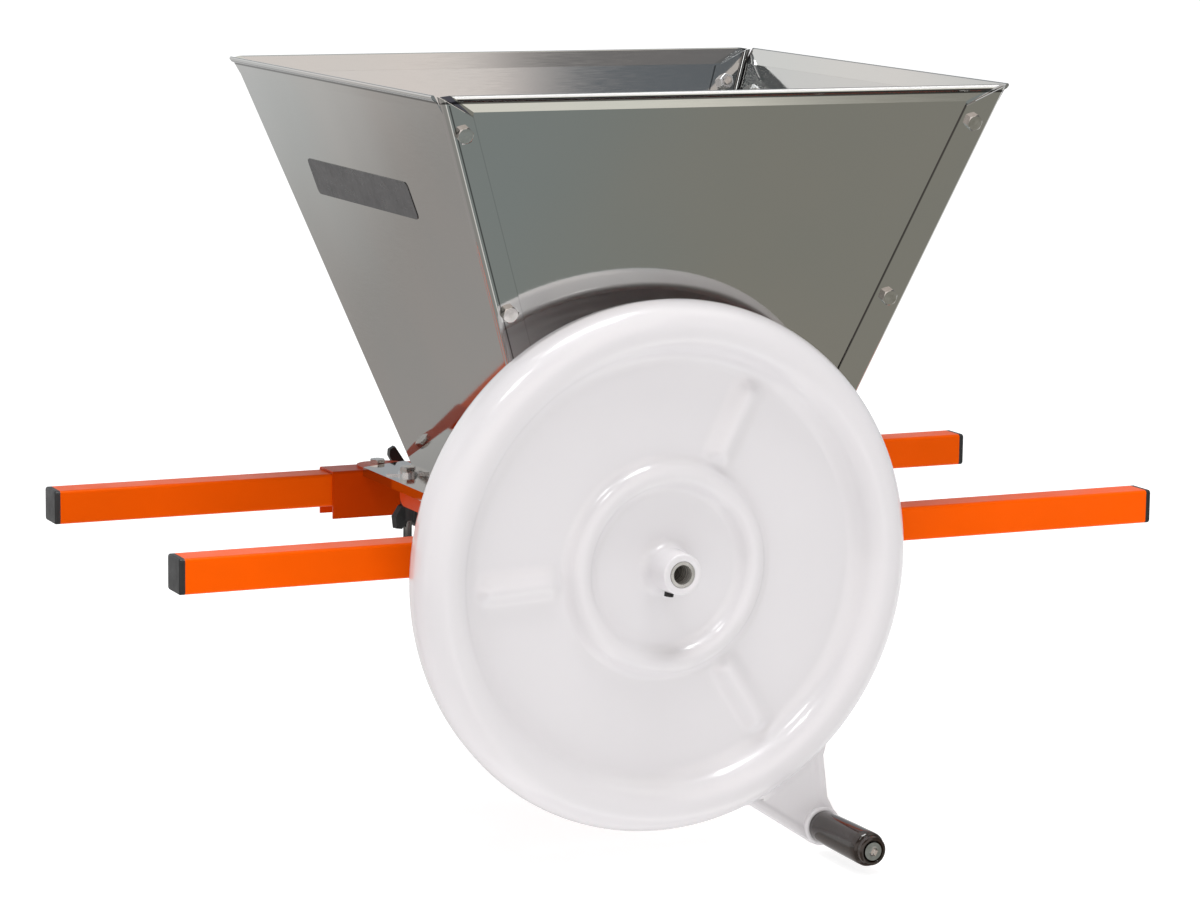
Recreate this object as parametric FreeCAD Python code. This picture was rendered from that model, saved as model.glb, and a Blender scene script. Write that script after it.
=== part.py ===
import FreeCAD, Part
import math
import os

# Hand cranked grape crusher, in millimetres.
# Origin: middle of the machine on the undersides of the carrying bars. +X along the bars,
# +Y from the flywheel to the far rail, +Z up.

Vec = FreeCAD.Vector
X_AXIS = Vec(1, 0, 0)
Y_AXIS = Vec(0, 1, 0)
Z_AXIS = Vec(0, 0, 1)

# Carrying bars: square tube pushed into the ends of the rails
bar_width = 30.0
bar_wall = 1.5
bar_corner = 3.0
overall_half_length = 461.0
bar_travel_in = 30.0
bar_travel_out = 5.0
bar_end_room = 3.0
slide_gap = 0.3
cap_lip = 5.0
cap_plug_length = 18.0
cap_plug_wall = 2.0

# Rails: inverted channels of folded sheet
rail_sheet = 2.0
rail_half_length = 199.5
rail_skirt = 11.2
rail_bend = 3.0
front_apron_margin = 42.0
rear_apron_margin = 16.0
apron_taper = 12.0

# Cross members: plates lying across both rails
cross_sheet = 2.0
cross_width = 45.6
cross_end_room = 16.5
cross_corner = 19.0
cross_bolt_edge = 20.0
tab_half_width = 64.0
tab_drop = 17.3
tab_corner = 10.0

# Hopper: four folded sheets of stainless steel
hopper_sheet = 1.0
throat_half_x = 122.9
throat_end_room = 2.8
hopper_flare_x = 0.378
hopper_flare_y = 0.248
hopper_height = 355.7
left_strip_width = 25.3
right_strip_width = 31.5
corner_bend = 5.0
lip_height = 14.3
lip_reach_x = 8.5
lip_reach_y = 6.2
lip_slit = 2.0
lip_end_gap = 1.5
lip_tip_inset = 9.0
hem_width = 6.5
hem_fold = 2.0
mitre_low_inset = 4.5
mitre_rise = 18.0
mitre_tip_reach = 1.0
fold_gap = 0.7
fold_share = 0.94
foot_edge_drop = 8.3
foot_half_length = 150.0
foot_taper = 20.0
foot_bolt_edge = 21.5
foot_bolt_y = 98.0
cross_bolt_room = 18.5
seam_bolt_heights = (186.0, 338.0)
seam_bolt_turn = 15.0
seam_nut_turn = 20.0
cut_room = 30.0
left_seam_bolt_inset = 13.0
right_seam_bolt_inset = 17.5

# Name plate without words, stuck on the left sheet
plate_length = 234.0
plate_width = 34.0
plate_thickness = 0.6
plate_corner = 5.0
plate_shift_y = 18.0
plate_rise = 254.2

# Threaded fasteners of the eight millimetre size
screw_radius = 4.0
screw_hole_gap = 0.5
hex_across_flats = 13.0
head_height = 4.6
nut_height = 6.5
washer_radius = 8.5
washer_thickness = 1.6
ear_thickness = 1.5
ear_reach = 20.0
ear_width = 9.0
wing_nut_drop = 36.5
wing_nut_hub = 7.5
wing_nut_reach = 17.0
wing_nut_turn = 20.0
wing_nut_wing_height = 20.0
wing_nut_wing_thickness = 6.0
wing_nut_stud = 16.0

# Wing screws that clamp the bars
clamp_hub_radius = 7.5
clamp_hub_length = 12.0
clamp_wing_reach = 31.5
clamp_wing_width = 11.0
clamp_wing_thickness = 6.0
clamp_wing_angle = 119.0
clamp_room = 2.5

# Fluted rollers and their shafts
roller_radius = 46.0
flute_depth = 3.5
flute_count = 8
roller_wall = 5.0
roller_end_room = 6.2
roller_disc = 8.0
nip_gap = 10.2
shaft_height = 4.3
shaft_radius = 11.0
shaft_bore = 8.3
running_gap = 0.06
bush_wall = 3.0
bush_flange = 2.5
bush_flange_rim = 4.0
side_gap = 0.3
shaft_tail = 8.0
ring_thickness = 1.5
ring_rim = 4.0
ring_depth = 0.6

# Gear pair between the front rail and the flywheel
gear_teeth = 28
gear_width = 14.0
gear_hub_length = 8.0
gear_hub_wall = 8.0
gear_backlash = 0.4
pressure_angle = 20.0
pin_radius = 2.5
guard_wall = 2.5
guard_back = 2.0
guard_room = 3.0
guard_ear = 13.0
guard_screw_radius = 2.5

# Guide plates that close the gap between hopper and rollers
guide_sheet = 1.5
guide_foot = 38.0
guide_drop = 24.0
guide_roller_gap = 3.5
guide_end_gap = 3.0

# Flywheel: thin walled casting, open at the back
wheel_gap = 19.0
wheel_wall = 5.5
rim_radius = 204.0
rim_bulge = 22.7
rim_set_back = 5.5
rim_skirt = 14.0
rim_draft = 2.2
rim_fillet = 20.0
ring_radius = 80.5
ring_half_width = 18.5
ring_height = 9.0
ring_crest = 11.5
sleeve_radius = 17.5
sleeve_length = 31.7
sleeve_fillet = 7.0
back_boss_radius = 20.0
rib_inner = 100.0
rib_outer = 166.0
rib_width = 28.0
rib_height = 7.0
rib_angles = (63.0, 183.0, 303.0)
set_screw_radius = 4.0
set_screw_proud = 4.5
set_screw_inset = 20.0
set_screw_angle = -98.0

# Crank lug on the rim, with its grip
lug_angle = -57.0
lug_reach = 283.7
lug_boss_radius = 17.5
lug_thickness = 12.0
lug_proud = 4.4
lug_neck_radius = 227.0
lug_left_angle = -68.7
lug_right_angle = -47.5
lug_toe_turn = 3.0
lug_waist = 17.9
lug_waist_back = 18.7
grip_length = 91.0
grip_base_radius = 14.3
grip_end_radius = 15.0
grip_chamfer = 2.0
grip_running_gap = 0.08
socket_head_radius = 7.8
socket_head_height = 8.0
socket_radius = 4.0
socket_depth = 4.5

# Places worked out from the sizes above
bar_outer_x = overall_half_length - cap_lip
bar_row_y = foot_half_length + cross_bolt_room
cross_half_length = bar_row_y + cross_end_room
throat_half_y = foot_half_length + throat_end_room
rail_inner_y = bar_row_y - bar_width / 2 - slide_gap - rail_sheet
rail_outer_y = bar_row_y + bar_width / 2 + slide_gap + rail_sheet
rail_top = bar_width + slide_gap + rail_sheet
roller_half_length = rail_inner_y - roller_end_room
foot_z = rail_top + cross_sheet
shaft_x = (2 * roller_radius + nip_gap) / 2
bush_radius = shaft_radius + running_gap + bush_wall
bar_inner_x = shaft_x + bush_radius + bar_end_room + bar_travel_in
rear_clamp_x = bar_inner_x + bar_travel_out + screw_radius + 1.0
clamp_z = bar_width / 2

lip_bend_z = foot_z + hopper_height
mitre_z = lip_bend_z - mitre_low_inset
cross_inner_x = throat_half_x + 1.0
cross_outer_x = cross_inner_x + cross_width
cross_bolt_x = cross_outer_x - cross_bolt_edge
foot_outer_x = cross_outer_x + side_gap + hopper_sheet
foot_bolt_x = cross_outer_x - foot_bolt_edge
side_skin = hopper_sheet * math.hypot(1, hopper_flare_x)
front_skin = hopper_sheet * math.hypot(1, hopper_flare_y)

gear_module = 2 * shaft_x / gear_teeth
gear_tip = shaft_x + gear_module
gear_back = rail_outer_y + bush_flange + side_gap
gear_front = gear_back + gear_width
gear_hub_front = gear_front + gear_hub_length
guard_inner_face = gear_hub_front + side_gap + 1.0
guard_front = guard_inner_face + guard_wall
guard_radius = gear_tip + guard_room + guard_wall
guard_seat = rail_outer_y + guard_back
guard_screw_x = shaft_x + guard_radius + guard_ear / 2 - 1.0
front_clamp_x = shaft_x + guard_radius + clamp_wing_reach + clamp_room

disc_back = guard_front + wheel_gap
disc_front = disc_back + wheel_wall
rim_plane = disc_front - rim_set_back
rim_back = rim_plane - rim_skirt
sleeve_end = disc_front + sleeve_length
lug_front = rim_plane + lug_proud
lug_back = lug_front - lug_thickness


def half_x(z):
    """Half width of the hopper's outer faces at height z."""
    return throat_half_x + hopper_flare_x * (z - foot_z)


def half_y(z):
    """Half depth of the front sheet's outer face at height z."""
    return throat_half_y + hopper_flare_y * (z - foot_z)


def box(x_range, y_range, z_range):
    low = Vec(min(x_range), min(y_range), min(z_range))
    high = Vec(max(x_range), max(y_range), max(z_range))
    return Part.makeBox(high.x - low.x, high.y - low.y, high.z - low.z, low)


def rod(radius, start, direction, length):
    return Part.makeCylinder(radius, length, start, direction)


def tube(outer, inner, start, direction, length):
    return rod(outer, start, direction, length).cut(rod(inner, start, direction, length))


def face_of(points):
    return Part.Face(Part.makePolygon(points + [points[0]]))


def slab_xz(points, y_range):
    """Outline of (x, z) points pushed along Y."""
    outline = face_of([Vec(x, y_range[0], z) for x, z in points])
    return outline.extrude(Vec(0, y_range[1] - y_range[0], 0))


def slab_yz(points, x_range):
    """Outline of (y, z) points pushed along X."""
    outline = face_of([Vec(x_range[0], y, z) for y, z in points])
    return outline.extrude(Vec(x_range[1] - x_range[0], 0, 0))


def slab_xy(points, z_range):
    """Outline of (x, y) points pushed along Z."""
    outline = face_of([Vec(x, y, z_range[0]) for x, y in points])
    return outline.extrude(Vec(0, 0, z_range[1] - z_range[0]))


def joined(shapes):
    """One solid out of overlapping ones."""
    first = shapes[0]
    return first.fuse(shapes[1:]).removeSplitter()


def edges_along(shape, direction, test=lambda middle: True):
    """Straight edges in one direction whose middle passes the test."""
    found = []
    for edge in shape.Edges:
        if edge.Curve.TypeId != "Part::GeomLine":
            continue
        run = edge.tangentAt(edge.FirstParameter)
        if abs(run.dot(direction)) > 0.999 and test(edge.CenterOfMass):
            found.append(edge)
    return found


def rounded(shape, radius, direction, test=lambda middle: True):
    return shape.makeFillet(radius, edges_along(shape, direction, test))


def mirrored_x(shape):
    return shape.mirror(Vec(0, 0, 0), X_AXIS)


def mirrored_y(shape):
    return shape.mirror(Vec(0, 0, 0), Y_AXIS)


def hexagon(across_flats, start, direction, height, turn=0.0):
    """Hexagonal prism whose far corners are rounded off by a cone."""
    corner = across_flats / math.sqrt(3)
    points = []
    for step in range(6):
        angle = math.radians(60 * step + turn)
        points.append(Vec(corner * math.cos(angle), corner * math.sin(angle), 0))
    prism = face_of(points).extrude(Vec(0, 0, height))
    bevel = (corner - across_flats / 2) * 0.6
    dome = Part.makeCone(corner, corner - 2 * bevel, bevel * 1.2, Vec(0, 0, height - bevel * 1.2), Z_AXIS)
    stock = rod(corner, Vec(0, 0, 0), Z_AXIS, height - bevel * 1.2)
    prism = prism.common(joined([stock, dome]))
    prism.Placement = FreeCAD.Placement(start, FreeCAD.Rotation(Z_AXIS, direction))
    return prism


def hex_bolt(seat, inward, shank_length, turn=0.0):
    """Bolt whose head sits on the point seat; its shank runs inward."""
    head = hexagon(hex_across_flats, seat, inward * -1, head_height, turn)
    shank = rod(screw_radius, seat, inward, shank_length)
    return joined([head, shank])


def hex_nut(seat, outward, height, turn=0.0):
    body = hexagon(hex_across_flats, seat, outward, height, turn)
    return body.cut(rod(screw_radius, seat - outward, outward, height + 2))


# Bars and their caps

def make_bar(side_x, side_y):
    centre_y = side_y * bar_row_y
    half = bar_width / 2
    x_range = (side_x * bar_inner_x, side_x * bar_outer_x)
    stock = box(x_range, (centre_y - half, centre_y + half), (0, bar_width))
    stock = rounded(stock, bar_corner, X_AXIS)
    inside = half - bar_wall
    hollow = box(x_range, (centre_y - inside, centre_y + inside), (bar_wall, bar_width - bar_wall))
    hollow = rounded(hollow, bar_corner - bar_wall, X_AXIS)
    return stock.cut(hollow)


def make_cap(side_x, side_y):
    centre_y = side_y * bar_row_y
    half = bar_width / 2
    lip_range = (side_x * bar_outer_x, side_x * overall_half_length)
    lip = box(lip_range, (centre_y - half, centre_y + half), (0, bar_width))
    lip = rounded(lip, bar_corner, X_AXIS)
    outer_edges = [e for e in lip.Edges if abs(abs(e.CenterOfMass.x) - overall_half_length) < 0.01]
    lip = lip.makeFillet(cap_lip * 0.35, outer_edges)
    inside = half - bar_wall
    plug_range = (side_x * (bar_outer_x - cap_plug_length), side_x * (bar_outer_x + 1))
    plug = box(plug_range, (centre_y - inside, centre_y + inside), (bar_wall, bar_width - bar_wall))
    plug = rounded(plug, bar_corner - bar_wall, X_AXIS)
    core = inside - cap_plug_wall
    core_range = (side_x * (bar_outer_x - cap_plug_length), side_x * (bar_outer_x + 1))
    hollow = box(core_range, (centre_y - core, centre_y + core),
                 (bar_wall + cap_plug_wall, bar_width - bar_wall - cap_plug_wall))
    hollow = hollow.common(box((side_x * bar_outer_x, side_x * (bar_outer_x - cap_plug_length)),
                               (centre_y - half, centre_y + half), (0, bar_width)))
    return joined([lip, plug]).cut(hollow)


# Rails

def rail_hole(x, z, radius, y_range):
    return rod(radius, Vec(x, y_range[0], z), Y_AXIS, y_range[1] - y_range[0])


def make_rail(margin, clamp_x, web_holes):
    """Rail of the +Y side; its apron reaches margin past the bushes, web_holes cut its outer web."""
    top = box((-rail_half_length, rail_half_length), (rail_inner_y, rail_outer_y), (-rail_skirt, rail_top))
    top = rounded(top, rail_bend, X_AXIS, lambda middle: middle.z > 0)
    half = shaft_x + bush_radius + margin
    apron_bottom = shaft_height - bush_radius - margin
    apron_line = [(-half - apron_taper, -rail_skirt + 1), (-half, apron_bottom),
                  (half, apron_bottom), (half + apron_taper, -rail_skirt + 1)]
    apron = slab_xz(apron_line, (rail_inner_y, rail_outer_y))
    apron = rounded(apron, apron_taper, Y_AXIS, lambda middle: middle.z < apron_bottom + 1)
    channel = joined([top, apron])
    gap = box((-rail_half_length, rail_half_length),
              (rail_inner_y + rail_sheet, rail_outer_y - rail_sheet),
              (apron_bottom - 1, rail_top - rail_sheet))
    rail = channel.cut(gap)
    through = (rail_inner_y - 1, rail_outer_y + 1)
    for side in (-1, 1):
        rail = rail.cut(rail_hole(side * shaft_x, shaft_height, bush_radius, through))
        outer_web = (rail_outer_y - rail_sheet - 1, rail_outer_y + 1)
        rail = rail.cut(rail_hole(side * clamp_x, clamp_z, screw_radius + screw_hole_gap, outer_web))
        bolt_start = Vec(side * cross_bolt_x, bar_row_y, rail_top - rail_sheet - 1)
        rail = rail.cut(rod(screw_radius, bolt_start, Z_AXIS, rail_sheet + 2))
    return rail.cut(web_holes) if web_holes else rail


# Cross members

def make_left_cross_member():
    plate = box((-cross_outer_x, -cross_inner_x), (-cross_half_length, cross_half_length),
                (rail_top, rail_top + cross_sheet))
    plate = rounded(plate, cross_corner, Z_AXIS)
    tab = box((-cross_outer_x, -cross_outer_x + cross_sheet), (-tab_half_width, tab_half_width),
              (rail_top - tab_drop, rail_top + cross_sheet))
    tab = rounded(tab, tab_corner, X_AXIS, lambda middle: middle.z < rail_top - 1)
    member = joined([plate, tab])
    for side in (-1, 1):
        for x, y in ((cross_bolt_x, bar_row_y), (foot_bolt_x, foot_bolt_y)):
            start = Vec(-x, side * y, rail_top - 1)
            member = member.cut(rod(screw_radius + screw_hole_gap, start, Z_AXIS, cross_sheet + 2))
    return member


def make_cross_member_bolts():
    bolts = []
    for side_x in (-1, 1):
        for side_y in (-1, 1):
            seat = Vec(side_x * cross_bolt_x, side_y * bar_row_y, foot_z)
            bolts.append(hex_bolt(seat, Z_AXIS * -1, cross_sheet + rail_sheet, 10))
    return Part.makeCompound(bolts)


# Hopper

def frustum(extra_x, extra_y, low_z, high_z, bend):
    """Flared block with rounded corners; extra moves its faces out."""
    rings = []
    for z in (low_z, high_z):
        x = half_x(z) + extra_x
        y = half_y(z) + extra_y
        rings.append([Vec(-x, -y, z), Vec(x, -y, z), Vec(x, y, z), Vec(-x, y, z)])
    low, high = rings
    faces = [face_of(low[::-1]), face_of(high)]
    for k in range(4):
        n = (k + 1) % 4
        faces.append(face_of([low[k], low[n], high[n], high[k]]))
    block = Part.makeSolid(Part.makeShell(faces))
    corners = [e for e in block.Edges if abs(e.Vertexes[0].Point.z - e.Vertexes[1].Point.z) > 1]
    return block.makeFillet(bend, corners)


def lip_section(start, reach):
    """Corners of a lip in (outward, up): its foot, then the ends and middles of the hem's two arcs."""
    length = math.hypot(reach, lip_height)
    up = (reach / length, lip_height / length)
    out = (up[1], -up[0])

    def at(along, across):
        return (start[0] + along * up[0] + across * out[0], start[1] + along * up[1] + across * out[1])

    crown = (hopper_sheet + hem_fold) / 2
    run = hem_width - crown
    swell = (run ** 2 + hem_fold ** 2) / (2 * hem_fold)
    turn = math.asin(run / swell) / 2
    foot = [at(-1.0, 0), at(-1.0, -hopper_sheet)]
    arcs = [at(length - crown, -hopper_sheet), at(length, (hem_fold - hopper_sheet) / 2),
            at(length - crown, hem_fold),
            at(length - crown - swell * math.sin(turn), hem_fold - swell * (1 - math.cos(turn))),
            at(length - hem_width, 0)]
    return foot, arcs


def lip_solid(start, reach, place, run):
    """Lip with a rounded hem, pushed along run; place turns an (outward, up) pair into a point."""
    foot, arcs = lip_section(start, reach)
    low_out, low_in = [place(*p) for p in foot]
    inner, crest, outer, swell, heel = [place(*p) for p in arcs]
    edges = [Part.makeLine(low_out, low_in), Part.makeLine(low_in, inner),
             Part.Arc(inner, crest, outer).toShape(), Part.Arc(outer, swell, heel).toShape(),
             Part.makeLine(heel, low_out)]
    return Part.Face(Part.Wire(edges)).extrude(run)


def mitre_line(width):
    """Low and high end (x, z) of the slanting top edge of a strip of this width."""
    tip_z = mitre_z + mitre_rise
    return (half_x(mitre_z) - width, mitre_z), (half_x(tip_z) + mitre_tip_reach, tip_z)


def strip_region(low_z, width):
    """Outline (x, z) that keeps a side sheet and its wrapped strips of this width, cut along the mitre."""
    low, tip = mitre_line(width)
    return [(half_x(low_z) - width, low_z), low, tip,
            (half_x(tip[1]) + cut_room, tip[1]), (half_x(low_z) + cut_room, low_z)]


def seam_bolt_places():
    """Points on the front sheet's outer face where its seams are bolted."""
    places = []
    for height in seam_bolt_heights:
        z = foot_z + height
        places.append(Vec(left_seam_bolt_inset - half_x(z), -half_y(z), z))
        places.append(Vec(half_x(z) - right_seam_bolt_inset, -half_y(z), z))
    return places


def front_normal():
    return Vec(0, -1, -hopper_flare_y).normalize()


def seam_holes():
    """Cylinders through the front seams at every bolt."""
    radius = screw_radius + screw_hole_gap
    out = front_normal()
    return [rod(radius, p - out * 5, out, 12) for p in seam_bolt_places()]


def make_side_panel(width):
    """Sheet of the +X side, its wrapped strips of this width; the seam holes are cut later."""
    low_z = foot_z + 0.2
    high_z = lip_bend_z + lip_height + 6
    outer = frustum(0, front_skin, low_z, high_z, corner_bend)
    inner = frustum(-side_skin, 0, low_z - 5, high_z + 5, corner_bend - hopper_sheet)
    skin = outer.cut(inner)
    reach_y = half_y(high_z) + 20
    sheet = skin.common(slab_xz(strip_region(low_z, width), (-reach_y, reach_y)))
    lip_half = half_y(lip_bend_z) - lip_slit
    top = box((0, half_x(high_z) + cut_room), (-lip_half, lip_half), (lip_bend_z, high_z + 10))
    sheet = sheet.cut(top)
    lip = lip_solid((half_x(lip_bend_z), lip_bend_z), lip_reach_x,
                    lambda out, up: Vec(out, -lip_half, up), Vec(0, 2 * lip_half, 0))
    inner_x = throat_half_x - side_skin
    outline = [(inner_x, -foot_half_length - foot_taper), (foot_outer_x, -foot_half_length),
               (foot_outer_x, foot_half_length), (inner_x, foot_half_length + foot_taper)]
    foot = slab_xy(outline, (foot_z, foot_z + hopper_sheet))
    edge = box((foot_outer_x - hopper_sheet, foot_outer_x), (-foot_half_length, foot_half_length),
               (foot_z + hopper_sheet - foot_edge_drop, foot_z + hopper_sheet))
    panel = joined([sheet, lip, foot, edge])
    for side in (-1, 1):
        start = Vec(foot_bolt_x, side * foot_bolt_y, foot_z - 1)
        panel = panel.cut(rod(screw_radius + screw_hole_gap, start, Z_AXIS, hopper_sheet + 2))
    return panel


def with_seam_holes(panel):
    for hole in seam_holes():
        panel = panel.cut([hole, mirrored_y(hole)])
    return panel


def make_lip_fold(side, width, lip_end, lip_tip):
    """Two small facets that close the lip's end down to the mitre of a strip of this width."""
    low, tip = mitre_line(width)
    root_z = mitre_z + fold_gap
    corner_x = low[0] + fold_share * (tip[0] - low[0])
    corner_z = root_z + fold_share * mitre_rise
    root = Vec(side * lip_end, -half_y(root_z), root_z)
    bend = Vec(side * lip_end, -half_y(lip_bend_z), lip_bend_z)
    high = Vec(side * lip_tip, -half_y(lip_bend_z) - lip_reach_y, lip_bend_z + lip_height)
    corner = Vec(side * corner_x, -half_y(corner_z), corner_z)
    depth = Vec(0, front_skin, 0)
    facets = []
    for points in ([root, bend, high], [root, high, corner]):
        facets.append(face_of(points).extrude(depth))
    return facets


def make_front_panel(left_width, right_width):
    """Sheet between the wrapped strips; its lip ends beside strips of these widths."""
    low_z = rail_top + side_gap
    edge_inset = side_skin + corner_bend
    outline = [(-half_y(low_z), low_z), (-half_y(lip_bend_z), lip_bend_z),
               (-half_y(lip_bend_z) + front_skin, lip_bend_z), (-half_y(low_z) + front_skin, low_z)]
    reach = half_x(lip_bend_z) + cut_room
    sheet = slab_yz(outline, (-reach, reach))
    low_x = half_x(low_z) - edge_inset
    high_x = half_x(lip_bend_z) - edge_inset
    sides = [(-low_x, low_z - 1), (low_x, low_z - 1), (high_x, lip_bend_z + 1), (-high_x, lip_bend_z + 1)]
    sheet = sheet.common(slab_xz(sides, (-reach, 0)))
    lip = lip_solid((half_y(lip_bend_z), lip_bend_z), lip_reach_y,
                    lambda out, up: Vec(-reach, -out, up), Vec(2 * reach, 0, 0))
    top_z = lip_bend_z + lip_height
    left_end = half_x(lip_bend_z) - left_width - lip_end_gap
    right_end = half_x(lip_bend_z) - right_width - lip_end_gap
    high_end = half_x(top_z) - lip_tip_inset
    ends = [(-left_end, lip_bend_z - 3), (right_end, lip_bend_z - 3), (right_end, lip_bend_z),
            (high_end, top_z), (high_end, top_z + 5), (-high_end, top_z + 5), (-high_end, top_z),
            (-left_end, lip_bend_z)]
    lip = lip.common(slab_xz(ends, (-reach, 0)))
    folds = make_lip_fold(-1, left_width, left_end, high_end)
    folds += make_lip_fold(1, right_width, right_end, high_end)
    return joined([sheet, lip] + folds).cut(seam_holes())


def make_hopper_bolts():
    out = front_normal()
    bolts = []
    for place in seam_bolt_places():
        seat = place + out * hopper_sheet
        bolt = hex_bolt(seat, out * -1, 2 * hopper_sheet + nut_height + 2, seam_bolt_turn)
        bolts += [bolt, mirrored_y(bolt)]
    return Part.makeCompound(bolts)


def make_hopper_nuts():
    out = front_normal()
    nuts = []
    for place in seam_bolt_places():
        nut = hex_nut(place - out * hopper_sheet, out * -1, nut_height, seam_nut_turn)
        nuts += [nut, mirrored_y(nut)]
    return Part.makeCompound(nuts)


def make_label_plate():
    """Flat plate lying on the outer face of the left sheet."""
    plate = box((0, plate_thickness), (-plate_length / 2, plate_length / 2), (0, plate_width))
    plate = rounded(plate, plate_corner, X_AXIS)
    low_z = foot_z + plate_rise
    tilt = math.degrees(math.atan(hopper_flare_x))
    plate.translate(Vec(-plate_thickness, 0, 0))
    plate.rotate(Vec(0, 0, 0), Y_AXIS, -tilt)
    plate.translate(Vec(-half_x(low_z), plate_shift_y, low_z))
    return plate


# Bolts that hold the hopper on the cross members

def foot_bolt_points():
    return [(side_x, side_y) for side_x in (-1, 1) for side_y in (-1, 1)]


def make_flange_tabs():
    """Washers with two pointed ears under the round washers."""
    tabs = []
    low = foot_z + hopper_sheet
    for side_x, side_y in foot_bolt_points():
        x = side_x * foot_bolt_x
        y = side_y * foot_bolt_y
        ears = slab_xy([(x - ear_reach, y + ear_width / 4), (x - ear_width / 2, y - ear_width / 2),
                        (x + ear_reach, y - ear_width / 4), (x + ear_width / 2, y + ear_width / 2)],
                       (low, low + ear_thickness))
        disc = rod(ear_width, Vec(x, y, low), Z_AXIS, ear_thickness)
        hole = rod(screw_radius, Vec(x, y, low - 1), Z_AXIS, ear_thickness + 2)
        tabs.append(joined([ears, disc]).cut(hole))
    return Part.makeCompound(tabs)


def make_flange_washers():
    washers = []
    low = foot_z + hopper_sheet + ear_thickness
    for side_x, side_y in foot_bolt_points():
        start = Vec(side_x * foot_bolt_x, side_y * foot_bolt_y, low)
        washers.append(tube(washer_radius, screw_radius, start, Z_AXIS, washer_thickness))
    return Part.makeCompound(washers)


def make_flange_bolts():
    bolts = []
    seat_z = foot_z + hopper_sheet + ear_thickness + washer_thickness
    end_z = rail_top - guide_sheet - wing_nut_drop - wing_nut_stud
    for side_x, side_y in foot_bolt_points():
        seat = Vec(side_x * foot_bolt_x, side_y * foot_bolt_y, seat_z)
        bolts.append(hex_bolt(seat, Z_AXIS * -1, seat_z - end_z, 0))
    return Part.makeCompound(bolts)


def make_wing_nut(side_x, side_y):
    """Hub on the bolt, with two wings that droop outwards."""
    x = side_x * foot_bolt_x
    y = side_y * foot_bolt_y
    top = rail_top - guide_sheet - side_gap
    bottom = top - wing_nut_drop
    hub = Part.makeCone(wing_nut_hub, wing_nut_hub * 0.8, wing_nut_drop, Vec(x, y, top), Z_AXIS * -1)
    half = wing_nut_wing_thickness / 2
    mid = bottom + wing_nut_wing_height * 0.55
    wings = []
    for side in (-1, 1):
        line = [(x, mid + 6), (x + side * wing_nut_reach * 0.55, mid + 3),
                (x + side * wing_nut_reach, mid - 6), (x + side * wing_nut_reach * 0.9, bottom - 6),
                (x + side * wing_nut_reach * 0.55, bottom - 7), (x, bottom + 1)]
        wing = slab_xz(line, (y - half, y + half))
        wings.append(wing)
    nut = joined([hub] + wings)
    nut = nut.cut(rod(screw_radius + running_gap, Vec(x, y, bottom - 20), Z_AXIS, wing_nut_drop + 30))
    nut.rotate(Vec(x, y, 0), Z_AXIS, wing_nut_turn)
    return nut


# Wing screws that clamp the bars

def clamp_x_of(side_x, side_y):
    return side_x * (rear_clamp_x if side_y > 0 else front_clamp_x)


def make_clamp_nuts():
    nuts = []
    for side_x in (-1, 1):
        for side_y in (-1, 1):
            seat = Vec(clamp_x_of(side_x, side_y), side_y * rail_outer_y, clamp_z)
            out = Y_AXIS * side_y
            body = hexagon(hex_across_flats, seat, out, nut_height, 0)
            nuts.append(body.cut(rod(screw_radius + running_gap, seat - out, out, nut_height + 2)))
    return Part.makeCompound(nuts)


def make_clamp_screw(side_x, side_y):
    x = clamp_x_of(side_x, side_y)
    out = Y_AXIS * side_y
    tip_y = side_y * (bar_row_y + bar_width / 2 + slide_gap)
    hub_y = side_y * (rail_outer_y + nut_height + side_gap)
    shank = rod(screw_radius, Vec(x, tip_y, clamp_z), out, abs(hub_y - tip_y) + 1)
    hub = Part.makeCone(clamp_hub_radius, clamp_hub_radius * 0.85, clamp_hub_length, Vec(x, hub_y, clamp_z), out)
    far_y = hub_y + side_y * (clamp_hub_length - 1)
    near_y = far_y - side_y * clamp_wing_thickness
    reach = clamp_wing_reach
    width = clamp_wing_width
    line = [(x - reach, clamp_z - width * 0.32), (x - reach, clamp_z + width * 0.2),
            (x - reach * 0.85, clamp_z + width * 0.5), (x + reach * 0.85, clamp_z + width * 0.5),
            (x + reach, clamp_z + width * 0.2), (x + reach, clamp_z - width * 0.32),
            (x + reach * 0.3, clamp_z - width * 0.5), (x - reach * 0.3, clamp_z - width * 0.5)]
    wings = slab_xz(line, (near_y, far_y))
    wings.rotate(Vec(x, 0, clamp_z), Y_AXIS, -clamp_wing_angle)
    return joined([shank, hub, wings])


# Guide plates

def make_left_guide():
    """Folded sheet: a foot under the cross member and a blade down to the roller."""
    top = rail_top
    bend_x = -throat_half_x + 1.0
    tip_z = top - guide_drop
    rise = tip_z - shaft_height
    roller_edge = math.sqrt((roller_radius + flute_depth) ** 2 - rise ** 2)
    tip_x = -shaft_x - roller_edge - guide_roller_gap
    slope = math.atan2(top - tip_z, tip_x - bend_x)
    dx = guide_sheet * math.tan(slope / 2)
    cut_x = guide_sheet / math.sin(slope)
    line = [(bend_x - guide_foot, top), (bend_x, top), (tip_x, tip_z), (tip_x - cut_x, tip_z),
            (bend_x - dx, top - guide_sheet), (bend_x - guide_foot, top - guide_sheet)]
    half = rail_inner_y - guide_end_gap
    guide = slab_xz(line, (-half, half))
    for side in (-1, 1):
        start = Vec(-foot_bolt_x, side * foot_bolt_y, top - guide_sheet - 1)
        guide = guide.cut(rod(screw_radius + screw_hole_gap, start, Z_AXIS, guide_sheet + 2))
    return guide


# Rollers, shafts and bushes

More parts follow.
